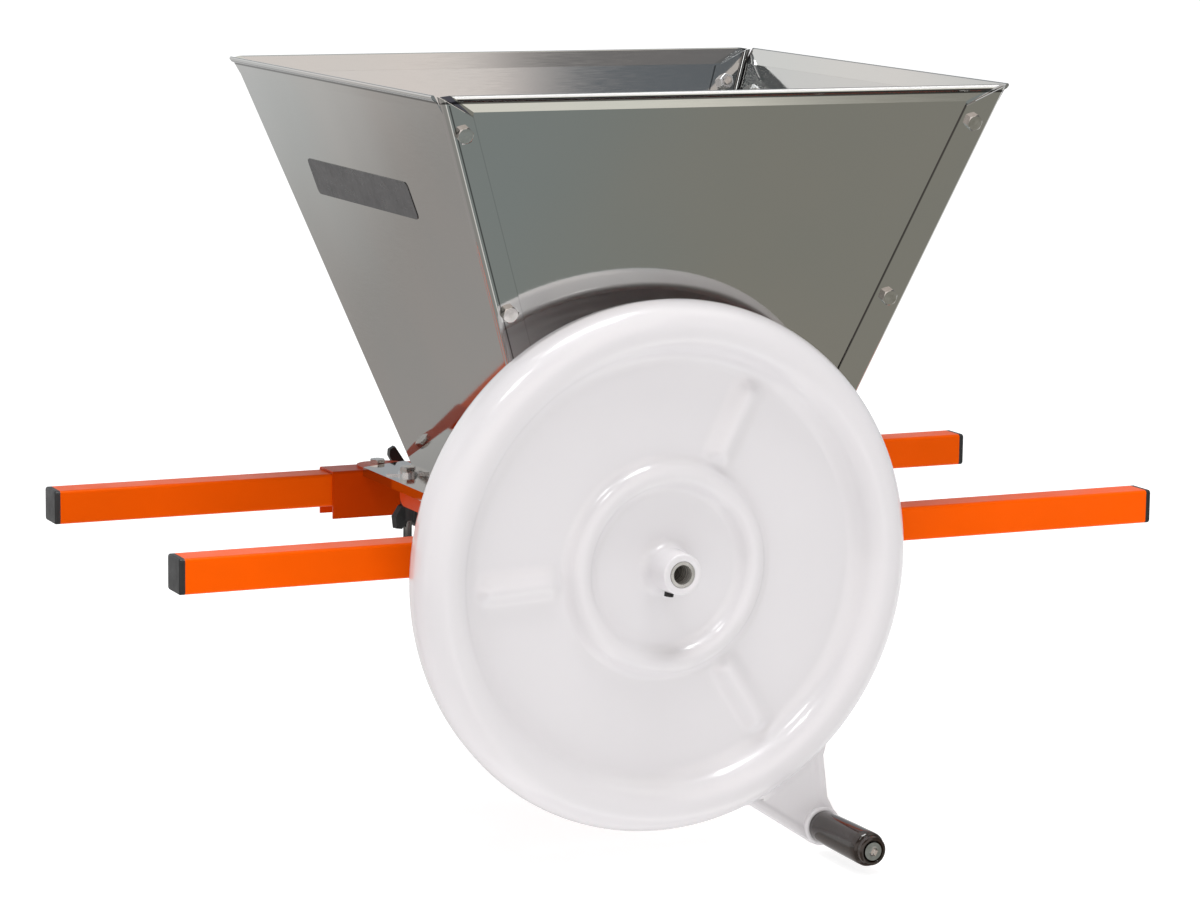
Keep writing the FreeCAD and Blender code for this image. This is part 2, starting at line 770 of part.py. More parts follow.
def fluted_face(x, tip_shift, turn):
    """Face across a roller: round flutes made of arcs, tip_shift inside the outer skin."""
    tip = roller_radius + flute_depth - tip_shift
    root = roller_radius - flute_depth - tip_shift
    middle = roller_radius - tip_shift
    pitch = 2 * math.pi / flute_count

    def point(radius, angle):
        return Vec(x + radius * math.cos(angle), 0, shaft_height + radius * math.sin(angle))

    edges = []
    for step in range(flute_count):
        angle = step * pitch + math.radians(turn)
        crest = Part.Arc(point(middle, angle - pitch / 4), point(tip, angle), point(middle, angle + pitch / 4))
        valley = Part.Arc(point(middle, angle + pitch / 4), point(root, angle + pitch / 2),
                          point(middle, angle + 3 * pitch / 4))
        edges += [crest.toShape(), valley.toShape()]
    return Part.Face(Part.Wire(edges))


def roller_slab(x, tip_shift, turn, y_range):
    face = fluted_face(x, tip_shift, turn)
    face.translate(Vec(0, y_range[0], 0))
    return face.extrude(Vec(0, y_range[1] - y_range[0], 0))


def make_roller(x, turn):
    y_range = (-roller_half_length, roller_half_length)
    return roller_slab(x, 0, turn, y_range).cut(roller_slab(x, roller_wall, turn, y_range))


def make_roller_ends(x, turn):
    ends = []
    for low in (-roller_half_length, roller_half_length - roller_disc):
        disc = roller_slab(x, roller_wall, turn, (low, low + roller_disc))
        bore = rod(shaft_radius, Vec(x, low - 1, shaft_height), Y_AXIS, roller_disc + 2)
        ends.append(disc.cut(bore))
    return Part.makeCompound(ends)


def ring_y():
    return rail_outer_y + bush_flange + side_gap


def make_shaft(x, front_end, pin_y):
    start = Vec(x, -front_end, shaft_height)
    rear_end = ring_y() + shaft_tail
    shaft = tube(shaft_radius, shaft_bore, start, Y_AXIS, front_end + rear_end)
    groove = tube(shaft_radius + 1, shaft_radius - ring_depth, Vec(x, ring_y(), shaft_height), Y_AXIS,
                  ring_thickness)
    pin_start = Vec(x, pin_y, shaft_height - shaft_radius - 5)
    return shaft.cut([groove, rod(pin_radius, pin_start, Z_AXIS, 2 * shaft_radius + 10)])


def make_shaft_ring(x):
    start = Vec(x, ring_y(), shaft_height)
    ring = tube(shaft_radius + ring_rim, shaft_radius - ring_depth, start, Y_AXIS, ring_thickness)
    mouth = box((x - shaft_radius * 0.5, x + shaft_radius * 0.5),
                (ring_y() - 1, ring_y() + ring_thickness + 1), (shaft_height - shaft_radius * 2, shaft_height))
    return ring.cut(mouth)


def make_bush(x, side_y):
    out = Y_AXIS * side_y
    inner_end = roller_half_length + side_gap
    sleeve = rod(bush_radius, Vec(x, side_y * inner_end, shaft_height), out, rail_outer_y - inner_end)
    flange = rod(bush_radius + bush_flange_rim, Vec(x, side_y * rail_outer_y, shaft_height), out, bush_flange)
    bore = rod(shaft_radius + running_gap, Vec(x, 0, shaft_height), out, 2 * rail_outer_y)
    return joined([sleeve, flange]).cut(bore)


# Gears

def involute(base, radius):
    """Angle that an involute of this base circle has turned at the radius."""
    if radius <= base:
        return 0.0
    steep = math.sqrt((radius / base) ** 2 - 1)
    return steep - math.atan(steep)


def gear_face(x, turn):
    """Toothed face with involute flanks; a tooth points along turn degrees from +X."""
    pitch = shaft_x
    tip = pitch + gear_module
    root = pitch - 1.25 * gear_module
    base = pitch * math.cos(math.radians(pressure_angle))
    half_tooth = (math.pi * gear_module / 2 - gear_backlash) / 2 / pitch
    lead = half_tooth + involute(base, pitch)
    radii = [base, (base + pitch) / 2, pitch, (pitch + tip) / 2, tip]

    def point(radius, angle):
        return Vec(x + radius * math.cos(angle), 0, shaft_height + radius * math.sin(angle))

    points = []
    for tooth in range(gear_teeth):
        centre = math.radians(turn) + 2 * math.pi * tooth / gear_teeth
        rising = [point(r, centre - lead + involute(base, r)) for r in radii]
        falling = [point(r, centre + lead - involute(base, r)) for r in reversed(radii)]
        points += [point(root, centre - lead)] + rising + falling + [point(root, centre + lead)]
    return face_of(points)


def make_gear(x, turn):
    face = gear_face(x, turn)
    face.translate(Vec(0, -gear_front, 0))
    wheel = face.extrude(Vec(0, gear_width, 0))
    hub_start = Vec(x, -gear_front + 1, shaft_height)
    hub = rod(shaft_radius + gear_hub_wall, hub_start, Y_AXIS * -1, gear_hub_length + 1)
    gear = joined([wheel, hub])
    bore = rod(shaft_radius, Vec(x, -gear_hub_front - 1, shaft_height), Y_AXIS, gear_hub_length + gear_width + 2)
    return gear.cut([bore, pin_rod(x)])


def pin_rod(x):
    reach = shaft_radius + gear_hub_wall
    start = Vec(x, gear_pin_y(), shaft_height - reach)
    return rod(pin_radius, start, Z_AXIS, 2 * reach)


def gear_pin_y():
    return -gear_front - gear_hub_length / 2


def guard_outline(radius, y, length):
    """Block with round ends about both shafts."""
    block = box((-shaft_x, shaft_x), (-y, -y + length), (shaft_height - radius, shaft_height + radius))
    ends = [rod(radius, Vec(side * shaft_x, -y, shaft_height), Y_AXIS, length) for side in (-1, 1)]
    return joined([block] + ends)


def guard_ears(y, length):
    """Ears at both ends of the guard, where it is screwed to the rail's web."""
    reach = guard_screw_x + guard_ear / 2
    bar = box((-reach, reach), (-y, -y + length), (shaft_height - guard_ear / 2, shaft_height + guard_ear / 2))
    return rounded(bar, guard_ear * 0.45, Y_AXIS)


def make_guard():
    depth = guard_front - guard_seat
    shell = guard_outline(guard_radius, guard_front, depth)
    shell = joined([shell, guard_ears(guard_seat + guard_wall, guard_wall)])
    hollow = guard_outline(guard_radius - guard_wall, guard_front - guard_wall, depth)
    guard = shell.cut(hollow)
    hole = rod(back_boss_radius + guard_room, Vec(-shaft_x, -guard_front - 1, shaft_height), Y_AXIS, guard_wall + 2)
    return guard.cut([hole] + guard_screw_holes())


def make_guard_back():
    """Plate behind the gears, lying on the front rail's outer web."""
    plate = guard_outline(guard_radius, guard_seat, guard_back)
    plate = joined([plate, guard_ears(guard_seat, guard_back)])
    radius = bush_radius + bush_flange_rim + side_gap
    holes = [rod(radius, Vec(side * shaft_x, -guard_seat - 1, shaft_height), Y_AXIS, guard_back + 2)
             for side in (-1, 1)]
    return plate.cut(holes + guard_screw_holes())


def guard_screw_holes():
    start = -guard_seat - guard_wall - 1
    length = guard_wall + guard_back + rail_sheet + 1
    return [rod(guard_screw_radius, Vec(side * guard_screw_x, start, shaft_height), Y_AXIS, length)
            for side in (-1, 1)]


def make_guard_screws():
    """Round headed screws that end flush inside the rail's web."""
    head_back = guard_seat + guard_wall
    screws = []
    for side in (-1, 1):
        seat = Vec(side * guard_screw_x, -head_back, shaft_height)
        shank = rod(guard_screw_radius, seat, Y_AXIS, guard_wall + guard_back + rail_sheet)
        head = rod(guard_screw_radius * 1.8, seat, Y_AXIS * -1, guard_screw_radius * 1.2)
        rim = [edge for edge in head.Edges if abs(edge.CenterOfMass.y + head_back) > 0.1]
        head = head.makeFillet(guard_screw_radius * 0.7, rim)
        slot = box((seat.x - guard_screw_radius * 2, seat.x + guard_screw_radius * 2),
                   (-head_back - 10, -head_back - guard_screw_radius * 0.7),
                   (shaft_height - guard_screw_radius * 0.2, shaft_height + guard_screw_radius * 0.2))
        screws.append(joined([head, shank]).cut(slot))
    return Part.makeCompound(screws)


# Flywheel

def wheel_point(radius, front):
    """Point of the flywheel's section; front counts towards the viewer from the middle of the machine."""
    return Vec(-shaft_x + radius, -front, shaft_height)


def arc_edge(centre, radius, start_angle, end_angle):
    """Arc in the section plane; angles from the radius direction towards the front."""
    middle = (start_angle + end_angle) / 2
    points = [wheel_point(centre[0] + radius * math.cos(a), centre[1] + radius * math.sin(a))
              for a in (start_angle, middle, end_angle)]
    return Part.Arc(*points).toShape()


def line_edge(start, end):
    return Part.makeLine(wheel_point(*start), wheel_point(*end))


def wheel_skin(offset, inner_radius):
    """Edges of the wheel's front skin from inner_radius out to the rim's back edge, moved back by offset."""
    disc = disc_front - offset
    ring_low = ring_half_width ** 2 + ring_height ** 2
    ring_fillet = ring_low / (2 * ring_height) - ring_crest
    edges = []
    fillet_rise = ring_fillet + disc_front
    crest_centre = (ring_radius, disc_front + ring_height - ring_crest)
    lean = math.atan2(fillet_rise - crest_centre[1], ring_half_width)
    inner_centre = (ring_radius - ring_half_width, fillet_rise)
    outer_centre = (ring_radius + ring_half_width, fillet_rise)
    edges.append(line_edge((inner_radius, disc), (inner_centre[0], disc)))
    edges.append(arc_edge(inner_centre, ring_fillet + offset, -math.pi / 2, -lean))
    edges.append(arc_edge(crest_centre, ring_crest - offset, math.pi - lean, lean))
    edges.append(arc_edge(outer_centre, ring_fillet + offset, math.pi + lean, 3 * math.pi / 2))
    rise = rim_set_back + rim_fillet
    run = math.sqrt((rim_bulge + rim_fillet) ** 2 - rise ** 2)
    fillet_centre = (rim_radius - run, disc_front + rim_fillet)
    tilt = math.atan2(rise, run)
    edges.append(line_edge((outer_centre[0], disc), (fillet_centre[0], disc)))
    edges.append(arc_edge(fillet_centre, rim_fillet + offset, -math.pi / 2, -tilt))
    rim_centre = (rim_radius, rim_plane)
    edges.append(arc_edge(rim_centre, rim_bulge - offset, math.pi - tilt, 0))
    outer = rim_radius + rim_bulge - offset
    edges.append(line_edge((outer, rim_plane), (outer - rim_draft, rim_back)))
    return edges


def make_wheel_dish():
    """Disc, inner ring and rim as one turned skin."""
    inner = shaft_radius + 2
    front = wheel_skin(0, inner)
    back = wheel_skin(wheel_wall, inner)
    outer = rim_radius + rim_bulge - rim_draft
    close_rim = line_edge((outer, rim_back), (outer - wheel_wall, rim_back))
    close_hub = line_edge((inner, disc_front), (inner, disc_front - wheel_wall))
    wire = Part.Wire(Part.__sortEdges__(front + back + [close_rim, close_hub]))
    axis_point = Vec(-shaft_x, 0, shaft_height)
    return Part.Face(wire).revolve(axis_point, Y_AXIS, 360)


def make_wheel_hub():
    start = Vec(-shaft_x, -sleeve_end, shaft_height)
    sleeve = rod(sleeve_radius, start, Y_AXIS, sleeve_length + 1)
    boss_start = Vec(-shaft_x, -disc_back - 1, shaft_height)
    boss_back = gear_hub_front + side_gap
    boss = rod(back_boss_radius, boss_start, Y_AXIS, disc_back + 1 - boss_back)
    foot_centre = (sleeve_radius + sleeve_fillet, disc_front + sleeve_fillet)
    foot = [line_edge((shaft_radius, disc_front - 1), (foot_centre[0], disc_front - 1)),
            line_edge((foot_centre[0], disc_front - 1), (foot_centre[0], disc_front)),
            arc_edge(foot_centre, sleeve_fillet, 3 * math.pi / 2, math.pi),
            line_edge((sleeve_radius, foot_centre[1]), (shaft_radius, foot_centre[1])),
            line_edge((shaft_radius, foot_centre[1]), (shaft_radius, disc_front - 1))]
    collar = Part.Face(Part.Wire(foot)).revolve(Vec(-shaft_x, 0, shaft_height), Y_AXIS, 360)
    return [sleeve, boss, collar]


def make_wheel_rib(angle):
    """Rounded ridge along a radius, its back sunk in the disc."""
    crown = (rib_width ** 2 / 4 + rib_height ** 2) / (2 * rib_height)
    depth = disc_front + rib_height - crown
    ridge = rod(crown, Vec(rib_inner, -depth, 0), X_AXIS, rib_outer - rib_inner)
    keep = box((rib_inner, rib_outer), (-depth - crown - 1, -disc_front + wheel_wall / 2), (-rib_width, rib_width))
    ridge = ridge.common(keep)
    slope = rib_height
    wedge = [(rib_inner, disc_front), (rib_inner, disc_front + 2 * rib_height), (rib_inner + slope, disc_front + 2 * rib_height)]
    cutter = face_of([Vec(x, -f, -rib_width) for x, f in wedge]).extrude(Vec(0, 0, 2 * rib_width))
    ridge = ridge.cut(cutter)
    ridge.rotate(Vec(0, 0, 0), Y_AXIS, -angle)
    ridge.translate(Vec(-shaft_x, 0, shaft_height))
    return ridge


def wheel_polar(radius, angle):
    """Point (x, z) at a radius and an angle in degrees about the wheel's axis."""
    a = math.radians(angle)
    return (-shaft_x + radius * math.cos(a), shaft_height + radius * math.sin(a))


def grip_place():
    return wheel_polar(lug_reach, lug_angle)


def make_lug():
    """Web from the rim to the boss that carries the grip."""
    root = rim_radius + rim_bulge - wheel_wall / 2
    boss_x, boss_z = grip_place()
    middle = wheel_polar(root, lug_angle)
    left_toe = wheel_polar(root, lug_left_angle - lug_toe_turn)
    right_toe = wheel_polar(root, lug_right_angle + lug_toe_turn)
    left_neck = wheel_polar(lug_neck_radius, lug_left_angle)
    right_neck = wheel_polar(lug_neck_radius, lug_right_angle)
    tangent = math.radians(lug_left_angle - 55)
    left_boss = (boss_x + lug_boss_radius * math.cos(tangent), boss_z + lug_boss_radius * math.sin(tangent))
    side = math.radians(lug_angle)
    out = (math.cos(side), math.sin(side))
    across = (-out[1], out[0])
    waist = (boss_x - out[0] * lug_waist_back + across[0] * lug_waist,
             boss_z - out[1] * lug_waist_back + across[1] * lug_waist)
    right_boss = (boss_x + across[0] * lug_boss_radius, boss_z + across[1] * lug_boss_radius)
    line = [middle, left_toe, left_neck, left_boss, (boss_x, boss_z), right_boss, waist, right_neck, right_toe]
    web = slab_xz(line, (-lug_front, -lug_back))
    boss = rod(lug_boss_radius, Vec(boss_x, -lug_front, boss_z), Y_AXIS, lug_thickness)
    return [web, boss]


def make_flywheel():
    parts = [make_wheel_dish()] + make_wheel_hub()
    parts += [make_wheel_rib(angle) for angle in rib_angles]
    parts += make_lug()
    wheel = joined(parts)
    bore = rod(shaft_radius, Vec(-shaft_x, -sleeve_end - 1, shaft_height), Y_AXIS, sleeve_end)
    boss_x, boss_z = grip_place()
    grip_hole = rod(screw_radius, Vec(boss_x, -lug_front - 1, boss_z), Y_AXIS, lug_thickness + 2)
    return wheel.cut([bore, grip_hole, set_screw_rod()])


def set_screw_rod():
    """Screw in the sleeve; its inner end is hollowed to the shaft's skin."""
    y = -sleeve_end + set_screw_inset
    angle = math.radians(set_screw_angle)
    out = Vec(math.cos(angle), 0, math.sin(angle))
    middle = Vec(-shaft_x, y, shaft_height)
    screw = rod(set_screw_radius, middle, out, sleeve_radius + set_screw_proud)
    return screw.cut(rod(shaft_radius, middle - Y_AXIS * set_screw_radius * 2, Y_AXIS, set_screw_radius * 4))


# Grip

def make_grip():
    x, z = grip_place()
    back = lug_front + side_gap
    front = back + grip_length
    bore = screw_radius + grip_running_gap
    pocket = socket_head_radius + 1.0
    pocket_depth = socket_head_height + side_gap
    line = [(bore, back), (grip_base_radius - grip_chamfer, back), (grip_base_radius, back + grip_chamfer),
            (grip_end_radius, front - grip_length * 0.2), (grip_end_radius, front - grip_chamfer),
            (grip_end_radius - grip_chamfer, front), (pocket, front), (pocket, front - pocket_depth),
            (bore, front - pocket_depth)]
    face = face_of([Vec(x + r, -f, z) for r, f in line])
    return face.revolve(Vec(x, 0, z), Y_AXIS, 360)


def make_grip_bolt():
    """Socket head bolt screwed into the lug's boss, flush with its back."""
    x, z = grip_place()
    head_back = lug_front + side_gap + grip_length - socket_head_height
    head = rod(socket_head_radius, Vec(x, -head_back - socket_head_height, z), Y_AXIS, socket_head_height)
    shank = rod(screw_radius, Vec(x, -head_back, z), Y_AXIS, head_back - lug_back)
    socket = hexagon(2 * socket_radius, Vec(x, -head_back - socket_head_height - 1, z), Y_AXIS, socket_depth + 1)
    return joined([head, shank]).cut(socket)


def build_nodes():
    nodes = {}
    side_names = {(-1, -1): "front_left", (1, -1): "front_right", (-1, 1): "rear_left", (1, 1): "rear_right"}
    nodes["rear_rail"] = make_rail(rear_apron_margin, rear_clamp_x, [])
    web_holes = [mirrored_y(hole) for hole in guard_screw_holes()]
    nodes["front_rail"] = mirrored_y(make_rail(front_apron_margin, front_clamp_x, web_holes))
    left_member = make_left_cross_member()
    nodes["left_cross_member"] = left_member
    nodes["right_cross_member"] = mirrored_x(left_member)
    for (side_x, side_y), name in side_names.items():
        nodes[name + "_bar"] = make_bar(side_x, side_y)
        nodes[name + "_cap"] = make_cap(side_x, side_y)
        nodes[name + "_clamp_screw"] = make_clamp_screw(side_x, side_y)
        nodes[name + "_wing_nut"] = make_wing_nut(side_x, side_y)
    nodes["clamp_nuts"] = make_clamp_nuts()
    nodes["cross_member_bolts"] = make_cross_member_bolts()
    nodes["flange_bolts"] = make_flange_bolts()
    nodes["flange_washers"] = make_flange_washers()
    nodes["flange_eared_washers"] = make_flange_tabs()
    nodes["hopper_right_panel"] = with_seam_holes(make_side_panel(right_strip_width))
    nodes["hopper_left_panel"] = with_seam_holes(mirrored_x(make_side_panel(left_strip_width)))
    front_panel = make_front_panel(left_strip_width, right_strip_width)
    nodes["hopper_front_panel"] = front_panel
    nodes["hopper_rear_panel"] = mirrored_y(front_panel)
    nodes["hopper_bolts"] = make_hopper_bolts()
    nodes["hopper_nuts"] = make_hopper_nuts()
    nodes["label_plate"] = make_label_plate()
    left_guide = make_left_guide()
    nodes["left_guide_plate"] = left_guide
    nodes["right_guide_plate"] = mirrored_x(left_guide)
    half_flute = 180.0 / flute_count
    nodes["drive_roller"] = make_roller(-shaft_x, 0)
    nodes["drive_roller_ends"] = make_roller_ends(-shaft_x, 0)
    nodes["driven_roller"] = make_roller(shaft_x, half_flute)
    nodes["driven_roller_ends"] = make_roller_ends(shaft_x, half_flute)
    nodes["drive_shaft"] = make_shaft(-shaft_x, sleeve_end, gear_pin_y())
    nodes["driven_shaft"] = make_shaft(shaft_x, gear_hub_front, gear_pin_y())
    nodes["drive_shaft_ring"] = make_shaft_ring(-shaft_x)
    nodes["driven_shaft_ring"] = make_shaft_ring(shaft_x)
    for name, x in (("drive", -shaft_x), ("driven", shaft_x)):
        nodes["front_" + name + "_bush"] = make_bush(x, -1)
        nodes["rear_" + name + "_bush"] = make_bush(x, 1)
        nodes[name + "_gear_pin"] = pin_rod(x)
    nodes["drive_gear"] = make_gear(-shaft_x, 0)
    nodes["driven_gear"] = make_gear(shaft_x, 180.0 - 180.0 / gear_teeth)
    nodes["gear_guard"] = make_guard()
    nodes["gear_guard_back"] = make_guard_back()
    nodes["guard_screws"] = make_guard_screws()
    nodes["flywheel"] = make_flywheel()
    nodes["wheel_set_screw"] = set_screw_rod()
    nodes["crank_grip"] = make_grip()
    nodes["grip_bolt"] = make_grip_bolt()
    return nodes


def main():
    os.makedirs("parts", exist_ok=True)
    for name, shape in build_nodes().items():
        shape.exportStep("parts/" + name + ".step")


main()
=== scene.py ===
import math

import bmesh
import bpy
from bpy.props import FloatProperty, FloatVectorProperty, IntProperty, PointerProperty
from mathutils import Matrix, Vector


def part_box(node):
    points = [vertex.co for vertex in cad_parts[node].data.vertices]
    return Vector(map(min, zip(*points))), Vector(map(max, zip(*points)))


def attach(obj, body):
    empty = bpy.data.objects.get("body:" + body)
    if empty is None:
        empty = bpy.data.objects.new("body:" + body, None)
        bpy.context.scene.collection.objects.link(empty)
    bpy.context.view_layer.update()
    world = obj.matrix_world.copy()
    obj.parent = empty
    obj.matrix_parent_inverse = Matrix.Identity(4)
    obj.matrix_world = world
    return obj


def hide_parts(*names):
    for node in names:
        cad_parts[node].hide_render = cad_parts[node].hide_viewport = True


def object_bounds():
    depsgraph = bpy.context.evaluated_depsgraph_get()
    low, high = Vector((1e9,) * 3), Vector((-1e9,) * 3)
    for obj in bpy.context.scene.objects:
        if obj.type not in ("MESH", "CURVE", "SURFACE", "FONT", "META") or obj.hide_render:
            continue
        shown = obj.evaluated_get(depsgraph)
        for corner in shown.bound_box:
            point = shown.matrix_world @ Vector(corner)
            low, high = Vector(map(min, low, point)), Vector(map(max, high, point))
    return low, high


bl_info = {
    "name": "Grape Crusher Dresser",
    "version": (1, 0, 0),
    "blender": (4, 5, 0),
    "location": "View3D > Sidebar > Crusher",
    "description": "Finishes and fine shapes for a hand cranked grape crusher",
    "category": "Object",
}

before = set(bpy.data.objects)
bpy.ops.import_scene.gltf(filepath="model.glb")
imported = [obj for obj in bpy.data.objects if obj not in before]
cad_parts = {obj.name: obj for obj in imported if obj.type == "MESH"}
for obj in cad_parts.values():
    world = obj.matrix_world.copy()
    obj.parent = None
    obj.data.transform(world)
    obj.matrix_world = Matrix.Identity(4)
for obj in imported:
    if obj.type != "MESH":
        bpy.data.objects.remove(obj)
CAD_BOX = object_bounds()

SHAFT_LOW, SHAFT_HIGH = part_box("drive_shaft")
GRIP_LOW, GRIP_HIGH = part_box("crank_grip")
AXIS = Vector(((SHAFT_LOW.x + SHAFT_HIGH.x) / 2, 0, (SHAFT_LOW.z + SHAFT_HIGH.z) / 2))
GRIP_AXIS = Vector(((GRIP_LOW.x + GRIP_HIGH.x) / 2, 0, (GRIP_LOW.z + GRIP_HIGH.z) / 2))


# Sizes and colours

class CrusherSizes(bpy.types.PropertyGroup):
    disc_front: FloatProperty(name="Disc front", default=0.2389, unit="LENGTH",
                              description="Distance of the wheel's disc from the middle")
    wall: FloatProperty(name="Wall", default=0.0055, unit="LENGTH",
                        description="Wall of the cast wheel")
    ring_radius: FloatProperty(name="Ring radius", default=0.0805, unit="LENGTH",
                               description="Radius of the ring round the hub")
    ring_height: FloatProperty(name="Ring height", default=0.009, unit="LENGTH",
                               description="Height of the ring over the disc")
    rib_height: FloatProperty(name="Rib height", default=0.007, unit="LENGTH",
                              description="Height of the three ribs")
    rib_width: FloatProperty(name="Rib width", default=0.028, unit="LENGTH",
                             description="Width of the three ribs")
    rim_radius: FloatProperty(name="Rim radius", default=0.204, unit="LENGTH",
                              description="Radius of the rim's crest line")
    rim_bulge: FloatProperty(name="Rim bulge", default=0.0227, unit="LENGTH",
                             description="Radius of the rim's round section")
    wheel_steps: IntProperty(name="Wheel steps", description="Steps round the wheel", default=240, min=48)


class CrusherColours(bpy.types.PropertyGroup):
    orange: FloatVectorProperty(name="Powder coat", description="Colour of the bars",
                                default=(0.88, 0.095, 0.0006), subtype="COLOR")
    # Painted shade: the bar orange darkened for the rails and cross members in the hopper's shade.
    rail: FloatVectorProperty(name="Rail coat", description="Colour of the rails and cross members",
                              default=(0.50, 0.038, 0.0003), subtype="COLOR")
    steel: FloatVectorProperty(name="Stainless", description="Colour of the hopper's sheets",
                               default=(0.60, 0.585, 0.56), subtype="COLOR")
    enamel: FloatVectorProperty(name="Enamel", description="Colour of the flywheel",
                                default=(0.71, 0.695, 0.713), subtype="COLOR")
    black: FloatVectorProperty(name="Black plastic", description="Colour of caps and wings",
                               default=(0.013, 0.014, 0.015), subtype="COLOR")
    grip: FloatVectorProperty(name="Grip", description="Colour of the crank's grip",
                              default=(0.012, 0.006, 0.003), subtype="COLOR")


# Finishes

FINISHES = {}
EVERY_HEIGHT = (-1.0, 1.0)


class Finish:
    """Small helper that builds one procedural material."""

    def __init__(self, name, colour, roughness, metallic=0.0):
        self.material = bpy.data.materials.new(name)
        self.material.use_nodes = True
        self.nodes = self.material.node_tree.nodes
        self.links = self.material.node_tree.links
        self.shader = self.nodes["Principled BSDF"]
        self.put("Base Color", (*colour, 1))
        self.put("Roughness", roughness)
        self.put("Metallic", metallic)
        self.coords = self.nodes.new("ShaderNodeTexCoord")
        self.shade = None
        self.normal = None
        FINISHES[name] = self.material

    def put(self, socket, value):
        self.shader.inputs[socket].default_value = value

    def node(self, kind, **values):
        """New node; each named value goes to the input of that name, or is linked to it."""
        node = self.nodes.new(kind)
        for name, value in values.items():
            self.feed(node.inputs[name.replace("_", " ")], value)
        return node

    def feed(self, socket, value):
        if isinstance(value, bpy.types.NodeSocket):
            self.links.new(value, socket)
        else:
            socket.default_value = value

    def math(self, operation, *values):
        step = self.nodes.new("ShaderNodeMath")
        step.operation = operation
        for socket, value in zip(step.inputs, values):
            self.feed(socket, value)
        return step.outputs["Value"]

    def grain(self, scale, detail=4.0, stretch=(1, 1, 1)):
        """Noise in object space; a small stretch value draws it out along that axis."""
        mapping = self.node("ShaderNodeMapping", Vector=self.coords.outputs["Object"], Scale=stretch)
        noise = self.node("ShaderNodeTexNoise", Vector=mapping.outputs["Vector"], Scale=scale, Detail=detail)
        return noise.outputs["Fac"]

    def spread(self, fac, low, high, start=0.3, end=0.7):
        """Maps a value from start..end onto low..high."""
        remap = self.node("ShaderNodeMapRange", Value=fac, From_Min=start, From_Max=end,
                          To_Min=low, To_Max=high)
        return remap.outputs["Result"]

    def rough(self, fac, low, high):
        """Roughness runs from low to high with the grain."""
        self.links.new(self.spread(fac, low, high), self.shader.inputs["Roughness"])

    def tint(self, fac, dark, light):
        """Colour runs from dark to light with the grain."""
        ramp = self.node("ShaderNodeValToRGB", Fac=fac)
        for element, place, tone in zip(ramp.color_ramp.elements, (0.3, 0.7), (dark, light)):
            element.position = place
            element.color = (*tone, 1)
        self.paint(ramp.outputs["Color"])

    def paint(self, colour):
        self.shade = colour
        self.links.new(colour, self.shader.inputs["Base Color"])

    def bump(self, fac, height):
        """Relief of this height over the relief that is already there."""
        bump = self.node("ShaderNodeBump", Height=fac, Strength=1.0, Distance=height)
        if self.normal is not None:
            self.links.new(self.normal, bump.inputs["Normal"])
        self.normal = bump.outputs["Normal"]
        self.links.new(self.normal, self.shader.inputs["Normal"])

    def line(self, across, place, half_width, depth, heights=EVERY_HEIGHT):
        """Mask of a line between two heights: across is the direction over it, place its distance."""
        reach = self.nodes.new("ShaderNodeVectorMath")
        reach.operation = "DOT_PRODUCT"
        reach.inputs[1].default_value = across
        self.links.new(self.coords.outputs["Object"], reach.inputs[0])
        away = self.math("ABSOLUTE", self.math("SUBTRACT", reach.outputs["Value"], place))
        split = self.node("ShaderNodeSeparateXYZ", Vector=self.coords.outputs["Object"])
        low, high = heights
        level = self.math("COMPARE", split.outputs["Z"], (low + high) / 2, (high - low) / 2)
        return self.math("MULTIPLY", self.spread(away, depth, 0.0, half_width * 0.5, half_width), level)

    def seam(self, mask, tone=(0.05, 0.05, 0.048)):
        """Lays a tone over the colour where the mask is set: used for the painted shade lines and the painted
        highlight line.
        """
        mix = self.nodes.new("ShaderNodeMix")
        mix.data_type = "RGBA"
        mix.inputs["B"].default_value = (*tone, 1)
        self.links.new(mask, mix.inputs["Factor"])
        self.links.new(self.shade, mix.inputs["A"])
        self.paint(mix.outputs["Result"])

    def coat(self, weight, roughness):
        self.put("Coat Weight", weight)
        self.put("Coat Roughness", roughness)


def scaled(colour, factor):
    return tuple(min(1.0, c * factor) for c in colour)


def make_plain(name, base, tint, rough, bump):
    """Finish from rows: (colour, roughness, metallic), then (scale, detail) grains with what they span."""
    finish = Finish(name, *base)
    finish.tint(finish.grain(*tint[0]), *tint[1:])
    finish.rough(finish.grain(*rough[0]), *rough[1:])
    finish.bump(finish.grain(*bump[0]), bump[1])
    return finish


